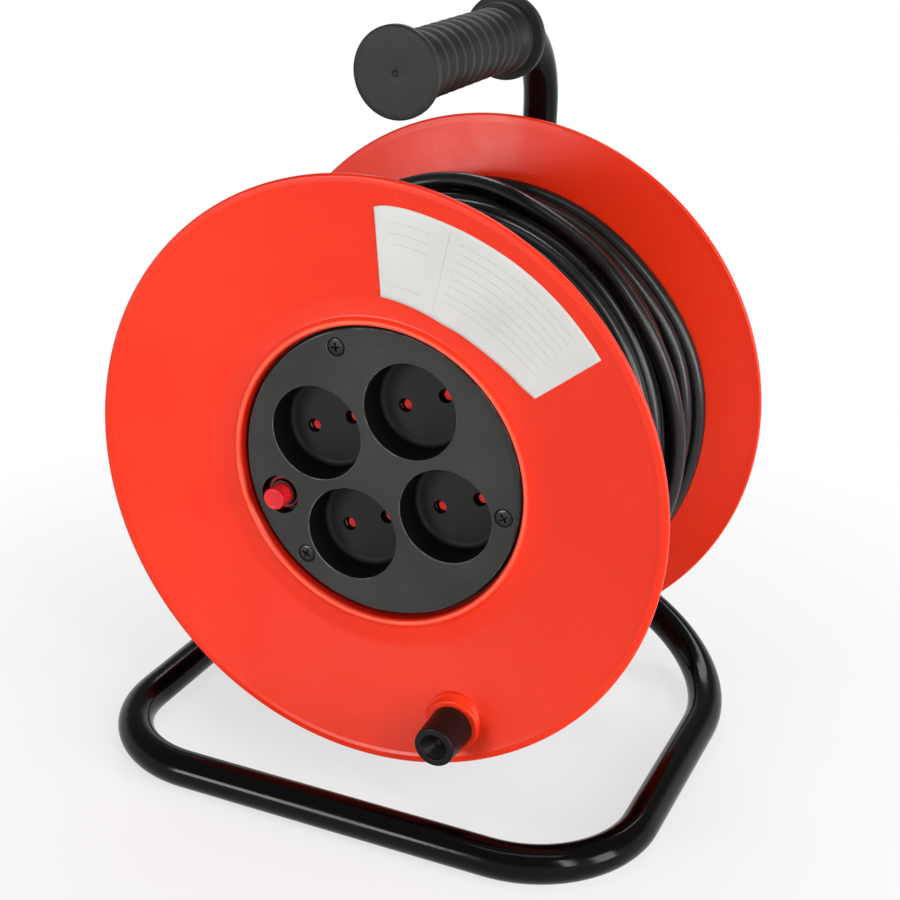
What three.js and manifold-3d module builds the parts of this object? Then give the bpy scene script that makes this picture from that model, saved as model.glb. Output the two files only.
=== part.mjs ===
// Extension cord reel: a dished plastic drum with four round socket outlets, turned by a crank knob,
// on an axle bolt through the riser of a bent steel tube stand with a rubber grip.
// Millimetres, +Z up, -Y is the front. The origin is on the floor, under the middle of the reel.
import * as THREE from "three";
import { mergeVertices } from "three/addons/utils/BufferGeometryUtils.js";
import Module from "manifold-3d";

const wasm = await Module();
wasm.setup();

// ---------------------------------------------------------------- driving dimensions
const gap = 0.3; // left between pieces that touch
const runningGap = 0.35; // radial, between pieces that turn on each other

// drum
const flangeRadius = 125;
const flangeWall = 2.5;
const drumWidth = 138; // over both rims
const dishDepth = 9.5; // how far the dish sinks from rim to crease
const creaseRadius = 75;
const rimWidth = 3.5;
const barrelRoom = 5.46; // inside the barrel, outside the corners of the thermal cut-out
const barrelWall = 2.5;
const hubRingRadius = 67; // middle of the raised bead round the hub
const hubRingRise = 1.1;
const wellRadius = 63.6; // the well in the hub that holds the socket plate
const wellDepth = 2.6; // from crease level to the face of the plate
const insertTurn = THREE.MathUtils.degToRad(21.5); // how the drum stands turned

// socket plate and what is behind it
const plateRadius = 61.9;
const plateThickness = 3;
const socketPitch = 45;
const recessRadius = 20.2;
const recessDepth = 15;
const recessWall = 1.8;
const recessFloor = 2;
const pinPitch = 19;
const pinHoleRadius = 2.9;
const plateScrewCircle = 55;
const screwHeadRadius = 4;
const screwShankRadius = 1.5;
const plateScrewLength = 16;
const ledgeWidth = 4.1;
const shutterThickness = 2;
const shutterTravel = 6.8;
const carrierThickness = 3;
const stripThickness = 0.8;
const stripWidth = 6;
const leafLength = 8;
const coverDepth = 22;
const coverMargin = 20; // of the cover, outside the middles of the sockets
const coverWall = 2;

// thermal cut-out and its reset button
const buttonHoleRadius = 8.3;
const buttonRadius = 4.3;
const buttonInset = 7; // from the cut-out's inner side to the middle of the button
const buttonStandOut = 5.6;
const buttonTravel = 2.5;
const cutoutLength = 27;
const cutoutWidth = 15.5;
const cutoutDepth = 31;

// axle
const axleRadius = 5;
const bushWall = 2.9;
const bossTip = 15.5; // outer radius of the drum's rear boss at its tip
const bossFoot = 24;
const hubWallInset = 14; // rear wall of the hub, in from the rear rim
const bushReach = 18; // of the bush, ahead of that wall
const boltHeadRadius = 9.2;
const boltHeadHeight = 6;
const washerThickness = 2;

// crank knob
const knobInset = 16.6; // from the flange's rim to the middle of the knob
const knobRadius = 9.3;
const knobTipRadius = 8.6;
const knobLength = 18.1;
const knobPinRadius = 3;

// stand
const tubeRadius = 8;
const tubeWall = 1.5;
const tubeSides = 12;
const boreSides = 8;
const standHalfWidth = 118.6; // to the middle of the side bars
const floorClearance = 18; // under the drum
const frontReach = 31; // front bar, ahead of the front rim
const riserReach = 38; // riser, behind the rear rim
const cornerBend = 48;
const rearBend = 75;
const riserBend = 40;
const handleBend = 36;
const legSlope = THREE.MathUtils.degToRad(20);
const handRoom = 34.3; // from the top of the drum to the middle of the grip

// grip
const gripLength = 109;
const gripSetback = 22; // behind the front rim
const gripCapRadius = 17.8;
const gripRibs = 10;
const gripRibPitch = 8.1;
const gripRibRadius = 13.9;
const gripWaistRadius = 12.5;
const gripCollarRadius = 15.1;
const gripFlangeRadius = 18.3;
const gripCapThickness = 3.4;

// cable and plug
const cableDiameter = 7.5;
const innerLayersHeight = 21; // the layers under the outer one
const layerTurns = 10.25;
const topTurns = 1.6;
const crossingRise = 8.1; // from the outer layer to a strand that crosses over it
const perchRise = 5.4; // from the outer layer to the strand against the rear flange
const laySway = 5; // of the layer's strands, towards the rear at one side of the drum
const swayAngle = THREE.MathUtils.degToRad(110);
const plugBearing = THREE.MathUtils.degToRad(273);
const plugStation = 36; // middle of the plug, behind the front rim
const plugWidth = 36;
const plugThickness = 22;
const plugBodyLength = 38;
const plugReliefLength = 22;
const plugPinLength = 18.7;
const plugPinRadius = 2.4;

// ---------------------------------------------------------------- derived places
const boreRadius = tubeRadius - tubeWall;
const tubeFlat = tubeRadius * Math.cos(Math.PI / tubeSides); // to the middle of a flat of the section
const axisHeight = floorClearance + flangeRadius;
const gripAxis = flangeRadius + handRoom; // above the drum's axis
const boltHeadBack = drumWidth + riserReach + tubeRadius + gap + boltHeadHeight;
const drumFront = (frontReach + tubeFlat - boltHeadBack) / 2; // y of the front rim
const riserBack = drumWidth + riserReach; // the riser's middle, behind the front rim
const creaseDepth = dishDepth + 0.5;
const plateFace = creaseDepth + wellDepth - 0.4;
const plateBack = plateFace + plateThickness;
const ledgeFace = plateBack + gap;
const recessBottom = plateFace + recessDepth;
const recessBack = recessBottom + recessFloor;
const shutterFront = recessBack + gap;
const carrierFront = shutterFront + shutterThickness + gap;
const carrierBack = carrierFront + carrierThickness;
const innerStripFront = carrierBack + gap;
const outerStripFront = innerStripFront + stripThickness + 2.7;
const coverBack = carrierFront + coverDepth;
const jointPlane = coverBack + 15.2; // the barrel's front half holds the whole insert
const hubWallBack = drumWidth - hubWallInset;
const hubWallFront = hubWallBack - 3;
const bushOuter = axleRadius + runningGap + bushWall;
const bossBack = riserBack - tubeRadius - 4;
const knobCircle = flangeRadius - knobInset;
const coverHalf = socketPitch / 2 + coverMargin;
const cutoutInnerSide = coverHalf + 0.5;
const buttonOffset = cutoutInnerSide + buttonInset;
const barrelInner = Math.hypot(cutoutInnerSide + cutoutWidth, cutoutLength / 2) + barrelRoom;
const barrelRadius = barrelInner + barrelWall;
const coreRadius = barrelRadius + gap + innerLayersHeight;
const cableRadius = cableDiameter / 2;
const loopSteps = 24;
const chordFactor = Math.cos(Math.PI / loopSteps);
const layerRadius = (coreRadius + gap + cableRadius) / chordFactor;
const topRadius = layerRadius + crossingRise;

// ---------------------------------------------------------------- finishes
function finish(color, roughness, metalness = 0) {
  return new THREE.MeshStandardMaterial({ color, roughness, metalness });
}
const redPlastic = finish("#f5432b", 0.45);
const signalRed = finish("#dd2a33", 0.4);
const blackPlastic = finish("#464746", 0.5);
const darkPlastic = finish("#2c2d2c", 0.6);
const whitePlastic = finish("#e4e2da", 0.55);
const blackRubber = finish("#383937", 0.8);
const blackCable = finish("#1d1e1f", 0.45);
const blackPaint = finish("#0d0d0e", 0.2, 0.3);
const steel = finish("#b9bcc0", 0.35, 1);
const darkSteel = finish("#3a3b3d", 0.4, 0.9);
const brass = finish("#c9a24a", 0.35, 1);
const brownWire = finish("#6b4027", 0.5);
const blueWire = finish("#2a5ea8", 0.5);

// ---------------------------------------------------------------- geometry helpers
// A closed, welded copy of a geometry, holding positions only and facing outwards.
function welded(geometry) {
  const bare = new THREE.BufferGeometry();
  bare.setAttribute("position", geometry.getAttribute("position").clone());
  if (geometry.index) bare.setIndex(geometry.index.clone());
  const merged = mergeVertices(bare, 1e-4);
  const index = merged.index.array;
  const p = merged.getAttribute("position");
  const kept = [];
  let volume = 0;
  for (let i = 0; i < index.length; i += 3) {
    const [a, b, c] = [index[i], index[i + 1], index[i + 2]];
    if (a === b || b === c || a === c) continue;
    kept.push(a, b, c);
    const va = new THREE.Vector3().fromBufferAttribute(p, a);
    const vb = new THREE.Vector3().fromBufferAttribute(p, b);
    const vc = new THREE.Vector3().fromBufferAttribute(p, c);
    volume += va.dot(vb.cross(vc));
  }
  if (volume < 0) kept.reverse();
  merged.setIndex(kept);
  return merged;
}

function toSolid(geometry) {
  const mesh = welded(geometry);
  const vertProperties = new Float32Array(mesh.getAttribute("position").array);
  const triVerts = new Uint32Array(mesh.index.array);
  return new wasm.Manifold(new wasm.Mesh({ numProp: 3, vertProperties, triVerts }));
}

function fromSolid(solid) {
  const { vertProperties, triVerts } = solid.getMesh();
  const geometry = new THREE.BufferGeometry();
  geometry.setAttribute("position", new THREE.BufferAttribute(new Float32Array(vertProperties), 3));
  geometry.setIndex([...triVerts]);
  return geometry;
}

function join(...geometries) {
  return fromSolid(geometries.map(toSolid).reduce((sum, next) => sum.add(next)));
}

function cut(body, ...tools) {
  return fromSolid(tools.map(toSolid).reduce((rest, tool) => rest.subtract(tool), toSolid(body)));
}

function common(first, second) {
  return fromSolid(toSolid(first).intersect(toSolid(second)));
}

// A closed outline of [radius, y] turned about the Y axis.
function turned(outline, sides) {
  const points = outline.map(([r, y]) => new THREE.Vector2(r, y));
  if (outline[0][0] > 0 || outline.at(-1)[0] > 0) points.push(points[0].clone());
  return new THREE.LatheGeometry(points, sides);
}

function rod(radius, from, to, sides = 16) {
  return turned([[0, from], [radius, from], [radius, to], [0, to]], sides);
}

function ring(inner, outer, from, to, sides = 16) {
  return turned([[inner, from], [outer, from], [outer, to], [inner, to]], sides);
}

// A block between two corners.
function block([x0, y0, z0], [x1, y1, z1]) {
  const box = new THREE.BoxGeometry(x1 - x0, y1 - y0, z1 - z0);
  return box.translate((x0 + x1) / 2, (y0 + y1) / 2, (z0 + z1) / 2);
}

// A shape drawn in X and Z, given its thickness along Y.
function slab(shape, from, to, curveSegments = 3) {
  const options = { depth: to - from, bevelEnabled: false, curveSegments };
  const slabGeometry = new THREE.ExtrudeGeometry(shape, options);
  return slabGeometry.rotateX(Math.PI / 2).translate(0, to, 0);
}

function moved(geometry, x, z) {
  return geometry.clone().translate(x, 0, z);
}

// A copy carried round the Y axis, counter-clockwise seen from the front.
function carriedRound(geometry, angle) {
  return geometry.clone().rotateY(-angle);
}

function polar(radius, angle) {
  return [radius * Math.cos(angle), radius * Math.sin(angle)];
}

function thirdsFrom(degrees) {
  return [0, 1, 2].map((i) => THREE.MathUtils.degToRad(degrees + 120 * i));
}

// A tube's middle line: straight runs between corners, each corner rounded by its bend radius.
// Its stations are the ends and the steps of the bends, and its section is carried from one to
// the next without twist, starting with one side upright.
class BentTube extends THREE.Curve {
  constructor(corners, bends, stepDegrees) {
    super();
    this.stations = [];
    const step = THREE.MathUtils.degToRad(stepDegrees);
    const last = corners.length - 1;
    for (let i = 0; i <= last; i += 1) {
      const here = corners[i];
      const into = i > 0 ? here.clone().sub(corners[i - 1]).normalize() : null;
      const out = i < last ? corners[i + 1].clone().sub(here).normalize() : null;
      if (into && out) this.bendAt(here, into, out, bends[i - 1], step);
      else this.stations.push({ point: here.clone(), tangent: (into || out).clone() });
    }
  }

  bendAt(corner, into, out, radius, step) {
    const turn = into.angleTo(out);
    const reach = radius * Math.tan(turn / 2);
    const start = corner.clone().addScaledVector(into, -reach);
    const inward = out.clone().addScaledVector(into, -Math.cos(turn)).normalize();
    const count = Math.ceil(turn / step);
    for (let k = 0; k <= count; k += 1) {
      const a = (turn * k) / count;
      const point = start.clone().addScaledVector(into, radius * Math.sin(a));
      point.addScaledVector(inward, radius * (1 - Math.cos(a)));
      const tangent = into.clone().multiplyScalar(Math.cos(a)).addScaledVector(inward, Math.sin(a));
      this.stations.push({ point, tangent });
    }
  }

  get steps() {
    return this.stations.length - 1;
  }

  getSpacedPoints() {
    return this.stations.map((station) => station.point);
  }

  computeFrenetFrames() {
    const tangents = this.stations.map((station) => station.tangent);
    const binormals = [new THREE.Vector3(0, 0, 1)];
    const normals = [binormals[0].clone().cross(tangents[0]).normalize()];
    for (let i = 1; i < tangents.length; i += 1) {
      const carry = new THREE.Quaternion().setFromUnitVectors(tangents[i - 1], tangents[i]);
      binormals.push(binormals[i - 1].clone().applyQuaternion(carry));
      normals.push(normals[i - 1].clone().applyQuaternion(carry));
    }
    return { tangents, normals, binormals };
  }
}

// A section of the given radii with its flats square to the axes.
function tubeSection(radius, sides, bore = 0) {
  const circle = (r, count) =>
    Array.from({ length: count }, (_, i) => {
      const a = ((i + 0.5) * 2 * Math.PI) / count;
      return new THREE.Vector2(r * Math.cos(a), r * Math.sin(a));
    });
  const shape = new THREE.Shape(circle(radius, sides));
  if (bore > 0) shape.holes.push(new THREE.Path(circle(bore, boreSides).reverse()));
  return shape;
}

function tubeAlong(path, radius, bore = 0, sides = tubeSides) {
  const section = tubeSection(radius, sides, bore);
  return new THREE.ExtrudeGeometry(section, { steps: path.steps, extrudePath: path, curveSegments: 1 });
}

// A thin wire or lead along a smooth curve through a few points.
function leadAlong(points, radius, steps, sides = 6) {
  const curve = new THREE.CatmullRomCurve3(points.map((p) => new THREE.Vector3(...p)), false, "centripetal");
  const section = tubeSection(radius, sides);
  return new THREE.ExtrudeGeometry(section, { steps, extrudePath: curve, curveSegments: 1 });
}

// A closed skin over rings of points that all hold the same number of points.
function skinned(rings) {
  const sides = rings[0].length;
  const positions = rings.flat().flatMap((p) => p.toArray());
  const index = [];
  for (let i = 0; i < rings.length - 1; i += 1) {
    for (let j = 0; j < sides; j += 1) {
      const [a, b] = [i * sides + j, i * sides + ((j + 1) % sides)];
      index.push(a, a + sides, b, b, a + sides, b + sides);
    }
  }
  const lastRing = (rings.length - 1) * sides;
  for (let j = 1; j < sides - 1; j += 1) {
    index.push(0, j, j + 1);
    index.push(lastRing, lastRing + j + 1, lastRing + j);
  }
  const geometry = new THREE.BufferGeometry();
  geometry.setAttribute("position", new THREE.Float32BufferAttribute(positions, 3));
  geometry.setIndex(index);
  return geometry;
}

// A round tube through points that turn about the Y axis, with one corner of each ring facing outwards.
function woundTube(points, radius, sides) {
  const rings = points.map((point, i) => {
    const before = points[Math.max(i - 1, 0)];
    const after = points[Math.min(i + 1, points.length - 1)];
    const along = after.clone().sub(before).normalize();
    const outward = new THREE.Vector3(point.x, 0, point.z).normalize();
    const across = along.clone().cross(outward).normalize();
    const upward = across.clone().cross(along);
    return Array.from({ length: sides }, (_, j) => {
      const a = (j * 2 * Math.PI) / sides;
      const offset = upward.clone().multiplyScalar(radius * Math.cos(a));
      return point.clone().add(offset.addScaledVector(across, radius * Math.sin(a)));
    });
  });
  return skinned(rings);
}

// ---------------------------------------------------------------- scene graph
const reel = new THREE.Group();
const drum = new THREE.Group();
drum.position.set(0, drumFront, axisHeight);
const insert = new THREE.Group();
insert.rotation.y = -insertTurn;
drum.add(insert);
reel.add(drum);

function place(group, name, geometry, material, position = [0, 0, 0]) {
  const mesh = new THREE.Mesh(welded(geometry), material);
  mesh.name = name;
  mesh.position.set(...position);
  group.add(mesh);
}

// ---------------------------------------------------------------- drum halves
const flangeSides = 36;

// The back of the front flange's dish at a radius. The rear flange mirrors it.
function dishBack(radius) {
  const slope = dishDepth / (flangeRadius - rimWidth - creaseRadius);
  const sunk = creaseDepth + flangeWall + 0.2;
  if (radius <= creaseRadius) return sunk;
  return sunk - slope * (radius - creaseRadius);
}

function dishFront(radius) {
  return dishBack(radius) - flangeWall - 0.2;
}

// The dished web and the rim, from the barrel out along the back and in again along the front.
function dishOutline() {
  const rimInner = flangeRadius - rimWidth;
  return [
    [barrelRadius, dishBack(barrelRadius)],
    [creaseRadius, dishBack(creaseRadius)],
    [rimInner, dishBack(rimInner)],
    [flangeRadius, flangeWall],
    [flangeRadius, 0.8],
    [flangeRadius - 0.8, 0],
    [rimInner, 0],
    [rimInner - 0.6, 0.6],
    [creaseRadius, creaseDepth],
  ];
}

// The rounded bead between the dish and the well of the hub.
function hubBead() {
  const foot = creaseDepth + 0.4;
  return [
    [hubRingRadius + 2.6, foot],
    [hubRingRadius + 1.2, foot - 0.7 * hubRingRise],
    [hubRingRadius - 0.4, foot - hubRingRise],
    [hubRingRadius - 2.4, foot - 0.3 * hubRingRise],
    [wellRadius, foot + 1.8],
  ];
}

function frontFlange() {
  const outline = [
    ...dishOutline(),
    ...hubBead(),
    [wellRadius, ledgeFace],
    [wellRadius - ledgeWidth, ledgeFace],
    [wellRadius - ledgeWidth, ledgeFace + 3],
    [barrelInner, ledgeFace + 6],
    [barrelInner, jointPlane - gap / 2],
    [barrelRadius, jointPlane - gap / 2],
  ];
  const shell = turned(outline, flangeSides);
  const bosses = plateScrewAngles.map((a) => plateScrewBoss(a));
  const pillars = barrelScrewAngles.map((a) => barrelPillar(a));
  const joined = join(shell, ...bosses, ...pillars, inletShelf(), knobBoss());
  const pilots = plateScrewAngles.map((a) =>
    screwHole(plateScrewCircle, a, plateFace, plateBack + plateScrewLength)
  );
  const deepPilots = barrelScrewAngles.map((a) =>
    screwHole(barrelScrewCircle, a, jointPlane - pillarPilot, jointPlane)
  );
  return cut(joined, ...pilots, ...deepPilots, grommetHole(), knobPinHole(), ...clampHoles());
}

const plateScrewAngles = thirdsFrom(90).map((a) => a + insertTurn);
const barrelScrewAngles = thirdsFrom(30).map((a) => a + insertTurn);
const barrelScrewCircle = barrelInner - 8.5;
const pillarRadius = 5.6;
const pillarPilot = 20;
const pilotRadius = screwShankRadius + gap;

function plateScrewBoss(angle) {
  const radius = 3.4;
  const top = ledgeFace;
  const bottom = plateBack + plateScrewLength + 2;
  const post = rod(radius, top, bottom, 12).translate(plateScrewCircle, 0, 0);
  const web = block([plateScrewCircle + 1, top, -1.4], [barrelInner + 0.8, bottom, 1.4]);
  return carriedRound(join(post, web), angle);
}

function barrelPillar(angle) {
  const from = jointPlane - pillarPilot - 4;
  const to = jointPlane - gap / 2;
  const post = rod(pillarRadius, from, to, 12).translate(barrelScrewCircle, 0, 0);
  const web = block([barrelScrewCircle + 2, from, -1.5], [barrelInner + 0.8, to, 1.5]);
  return carriedRound(join(post, web), angle);
}

function screwHole(circle, angle, from, to) {
  return carriedRound(rod(pilotRadius, from, to, 10).translate(circle, 0, 0), angle);
}

// The bead-like boss that the crank knob turns against, square to the drum's axis.
const knobAngle = insertTurn - Math.PI / 2;
const [knobX, knobZ] = polar(knobCircle, knobAngle);
const pinHeadRadius = knobPinRadius + 3;
const knobBossFace = dishFront(knobCircle + knobRadius) - 0.35;
const knobBossBack = dishBack(knobCircle - pinHeadRadius);

function knobBoss() {
  return moved(rod(knobRadius + 2.5, knobBossFace, knobBossBack, 24), knobX, knobZ);
}

function knobPinHole() {
  return moved(rod(knobPinRadius + gap, -1, knobBossBack + 1, 12), knobX, knobZ);
}

// Where the cable passes through the barrel, and the shelf inside that its clamp is screwed to.
const inletAngle = THREE.MathUtils.degToRad(141);
const inletStation = coverBack + cableRadius + 1.5 * gap; // the lead passes behind the cover
const grommetRadius = 6;
const shelfInner = barrelInner - 13;
const shelfHalfLength = 13;
const clampScrewSpread = 9;
const shelfTop = inletStation - cableRadius - gap;
const clampBottom = inletStation + cableRadius + gap;
const clampThickness = 3;

function inletShelf() {
  const shelf = block(
    [shelfInner, shelfTop - 6, -shelfHalfLength],
    [barrelInner + 0.6, shelfTop, shelfHalfLength]
  );
  const notch = inletRod(grommetRadius + 2 + gap, barrelInner - 3.3, barrelInner - 0.4);
  return cut(carriedRound(shelf, inletAngle), notch);
}

// A rod along the drum's radius at the inlet, from one radius to another.
function inletRod(radius, from, to, sides = 12) {
  const bar = rod(radius, from, to, sides).rotateZ(-Math.PI / 2).translate(0, inletStation, 0);
  return carriedRound(bar, inletAngle);
}

function grommetHole() {
  return inletRod(grommetRadius + gap, barrelInner - 3, barrelRadius + 3);
}

function clampHoles() {
  const middle = shelfInner + 6;
  return [-clampScrewSpread, clampScrewSpread].map((z) =>
    carriedRound(rod(1.7, shelfTop - 5, shelfTop + 1, 8).translate(middle, 0, z), inletAngle)
  );
}

const ribHeight = 5;
const ribThickness = 2.2;
const hubRibs = 6;

function rearFlange() {
  const outline = [
    ...dishOutline().map(([r, y]) => [r, drumWidth - y]),
    [wellRadius + 1.5, drumWidth - creaseDepth],
    [wellRadius, hubWallBack],
    [bossFoot - 4, hubWallBack],
    [bossFoot - 4, hubWallFront],
    [barrelInner, hubWallFront],
    [barrelInner, jointPlane + gap / 2],
    [barrelRadius, jointPlane + gap / 2],
  ];
  const shell = join(turned(outline, flangeSides), bearingBoss());
  const pillars = barrelScrewAngles.map((a) => rearPillar(a));
  const ribs = Array.from({ length: hubRibs }, (_, i) => hubRib(insertTurn + (i * 2 * Math.PI) / hubRibs));
  const wells = barrelScrewAngles.map((a) => {
    const well = rod(pillarRadius - 1.4, jointPlane + gap / 2 + pillarFloor, drumWidth, 12);
    return carriedRound(well.translate(barrelScrewCircle, 0, 0), a);
  });
  const holes = barrelScrewAngles.map((a) => screwHole(barrelScrewCircle, a, jointPlane - 1, jointPlane + 9));
  return cut(join(shell, ...pillars, ...ribs), ...wells, ...holes);
}

// The tapered boss that stands out to the riser, with the tube for the bush inside it.
function bearingBoss() {
  const bore = bushOuter + gap;
  const tubeOuter = bore + 2.6;
  const tubeFront = hubWallFront - bushReach + 1;
  const wall = 2.6;
  const outline = [
    [bossFoot, hubWallFront],
    [bossFoot, hubWallBack + 1.5],
    [bossTip, bossBack],
    [bore, bossBack],
    [bore, tubeFront],
    [tubeOuter, tubeFront],
    [tubeOuter, bossBack - 3],
    [bossTip - wall, bossBack - 3],
    [bossFoot - wall, hubWallFront],
  ];
  return turned(outline, 24);
}

const pillarFloor = 3;

function rearPillar(angle) {
  const post = rod(pillarRadius, jointPlane + gap / 2, hubWallBack - 1, 12).translate(barrelScrewCircle, 0, 0);
  return carriedRound(post, angle);
}

function hubRib(angle) {
  const inner = bossFoot - 3;
  const rib = block(
    [inner, hubWallBack - 1, -ribThickness / 2],
    [wellRadius + 0.5, hubWallBack + ribHeight - 1.6, ribThickness / 2]
  );
  return carriedRound(rib, angle);
}

place(drum, "front_flange", frontFlange(), redPlastic);
place(drum, "rear_flange", rearFlange(), redPlastic);

barrelScrewAngles.forEach((angle, i) => {
  const seat = jointPlane + gap / 2 + pillarFloor + gap;
  const tip = jointPlane - pillarPilot + 2;
  const screw = join(rod(screwShankRadius, tip, seat + 1, 10), rod(3.7, seat, seat + 2.6, 12));
  place(drum, `barrel_screw_${i + 1}`, carriedRound(screw.translate(barrelScrewCircle, 0, 0), angle), steel);
});

// ---------------------------------------------------------------- socket insert
const socketPlaces = [
  [-socketPitch / 2, socketPitch / 2],
  [socketPitch / 2, socketPitch / 2],
  [-socketPitch / 2, -socketPitch / 2],
  [socketPitch / 2, -socketPitch / 2],
];

function pinPlaces([x, z]) {
  return [
    [x - pinPitch / 2, z],
    [x + pinPitch / 2, z],
  ];
}

const centrePostRadius = 4;
const screwSeatDepth = 2.4;

function socketPlate() {
  const edge = 0.9;
  const disc = turned(
    [
      [0, plateFace],
      [plateRadius - edge, plateFace],
      [plateRadius, plateFace + edge],
      [plateRadius, plateBack],
      [0, plateBack],
    ],
    40
  );
  const outer = recessRadius + recessWall;
  const cupOutline = [
    [0, plateBack - 0.5],
    [outer, plateBack - 0.5],
    [outer - 0.5, recessBack],
    [0, recessBack],
  ];
  const cups = socketPlaces.map(([x, z]) => moved(turned(cupOutline, 20), x, z));
  const post = rod(centrePostRadius, plateBack - 0.5, carrierFront - gap, 12);
  const recesses = socketPlaces.map(([x, z]) => moved(recessTool(), x, z));
  const pinHoles = socketPlaces.flatMap(pinPlaces).map(([x, z]) =>
    moved(rod(pinHoleRadius, recessBottom - 1, recessBack + 1, 10), x, z)
  );
  const buttonHole = moved(rod(buttonHoleRadius, plateFace - 1, plateBack + 1, 24), -buttonOffset, 0);
  const seats = thirdsFrom(90).map((a) => moved(countersink(), ...polar(plateScrewCircle, a)));
  const postPilot = rod(pilotRadius, plateBack + 2, carrierFront + 1, 10);
  return cut(join(disc, ...cups, post), ...recesses, ...pinHoles, buttonHole, ...seats, postPilot);
}

function recessTool() {
  const lip = 0.7;
  return turned(
    [
      [0, plateFace - 1],
      [recessRadius + lip + 1, plateFace - 1],
      [recessRadius + lip, plateFace],
      [recessRadius, plateFace + lip],
      [recessRadius - 0.5, recessBottom],
      [0, recessBottom],
    ],
    24
  );
}

function countersink() {
  const wide = screwHeadRadius + gap;
  return turned(
    [
      [0, plateFace - 1],
      [wide, plateFace - 1],
      [wide, plateFace + 0.4],
      [pilotRadius, plateFace + screwSeatDepth + 0.2],
      [pilotRadius, plateBack + 1],
      [0, plateBack + 1],
    ],
    14
  );
}

place(insert, "socket_plate", socketPlate(), blackPlastic);

// A countersunk cross-head screw with its head level with the plate.
function plateScrew() {
  const head = turned(
    [
      [0, plateFace + 0.1],
      [screwHeadRadius, plateFace + 0.1],
      [screwHeadRadius, plateFace + 0.4],
      [screwShankRadius, plateFace + screwSeatDepth],
      [screwShankRadius, plateFace + plateScrewLength],
      [0, plateFace + plateScrewLength + 1],
    ],
    12
  );
  const slot = block([-2.4, plateFace - 1, -0.5], [2.4, plateFace + 1.2, 0.5]);
  return cut(head, slot, slot.clone().rotateY(Math.PI / 2));
}

thirdsFrom(90).forEach((angle, i) => {
  const [x, z] = polar(plateScrewCircle, angle);
  place(insert, `plate_screw_${i + 1}`, plateScrew(), darkSteel, [x, 0, z]);
});

// ---------------------------------------------------------------- shutters, contacts and cover
const shutterHalfLength = 13;
const shutterHalfWidth = 3.8;
const railWidth = 1.2;
const springFolded = 3.4; // length left for the spring with the shutter aside
const stopPlace = shutterHalfWidth + shutterTravel + springFolded;

function roundedSquare(half, corner, Kind = THREE.Shape) {
  const shape = new Kind();
  const inner = half - corner;
  shape.absarc(inner, inner, corner, 0, Math.PI / 2);
  shape.absarc(-inner, inner, corner, Math.PI / 2, Math.PI);
  shape.absarc(-inner, -inner, corner, Math.PI, 1.5 * Math.PI);
  shape.absarc(inner, -inner, corner, 1.5 * Math.PI, 2 * Math.PI);
  return shape;
}

const coverCorner = 20;

function contactCarrier() {
  const inset = coverWall + gap;
  const outline = roundedSquare(coverHalf - inset, coverCorner - inset);
  const base = slab(outline, carrierFront, carrierBack);
  const railTop = shutterFront + gap;
  const rails = socketPlaces.flatMap(([x, z]) => {
    const reach = shutterHalfLength + gap;
    const ends = [-reach - railWidth, reach].map((side) =>
      block([x + side, railTop, z - 5], [x + side + railWidth, carrierFront + 0.5, z + stopPlace + railWidth])
    );
    const stop = block(
      [x - reach - 0.4, railTop, z + stopPlace],
      [x + reach + 0.4, carrierFront + 0.5, z + stopPlace + railWidth]
    );
    return [...ends, stop];
  });
  const holes = socketPlaces.flatMap(pinPlaces).map(([x, z]) =>
    moved(rod(pinHoleRadius + 0.4, carrierFront - 1, carrierBack + 1, 8), x, z)
  );
  const screwWay = rod(pilotRadius, carrierFront - 3, carrierBack + 1, 10);
  const body = common(join(base, ...rails), slab(outline, railTop - 1, carrierBack));
  return cut(body, ...holes, screwWay);
}

place(insert, "contact_carrier", contactCarrier(), whitePlastic);

function shutter() {
  const plate = block(
    [-shutterHalfLength, shutterFront, -shutterHalfWidth],
    [shutterHalfLength, shutterFront + shutterThickness, shutterHalfWidth]
  );
  // the front edges are bevelled, so that two pins together push it aside
  const bevel = block([-shutterHalfLength - 1, -1, -1], [shutterHalfLength + 1, 1, 1]);
  bevel.rotateX(Math.PI / 4).translate(0, shutterFront - 0.2, -shutterHalfWidth);
  return cut(plate, bevel);
}

// A leaf spring folded to and fro between the shutter and its stop.
function shutterSpring() {
  const start = shutterHalfWidth + gap;
  const length = stopPlace - gap - start;
  const leaves = 4;
  const thickness = 0.5;
  const half = 4.5;
  const pitch = (length - thickness) / (leaves - 1);
  const front = shutterFront + gap;
  const back = shutterFront + shutterThickness - gap;
  const pieces = [];
  for (let i = 0; i < leaves; i += 1) {
    const z = start + i * pitch;
    pieces.push(block([-half, front, z], [half, back, z + thickness]));
    const side = i % 2 ? -half : half - thickness;
    if (i < leaves - 1) pieces.push(block([side, front, z], [side + thickness, back, z + pitch + thickness]));
  }
  return join(...pieces);
}

socketPlaces.forEach(([x, z], i) => {
  place(insert, `shutter_${i + 1}`, shutter(), signalRed, [x, 0, z]);
  place(insert, `shutter_spring_${i + 1}`, shutterSpring(), steel, [x, 0, z]);
});

// Two leaves that grip a pin, standing on the strip behind one pin hole.
function pinLeaves(x, z, front) {
  const half = plugPinRadius + 0.1;
  return [-half - stripThickness, half].map((side) =>
    block([x - 2.6, front, z + side], [x + 2.6, front + leafLength, z + side + stripThickness])
  );
}

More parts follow.
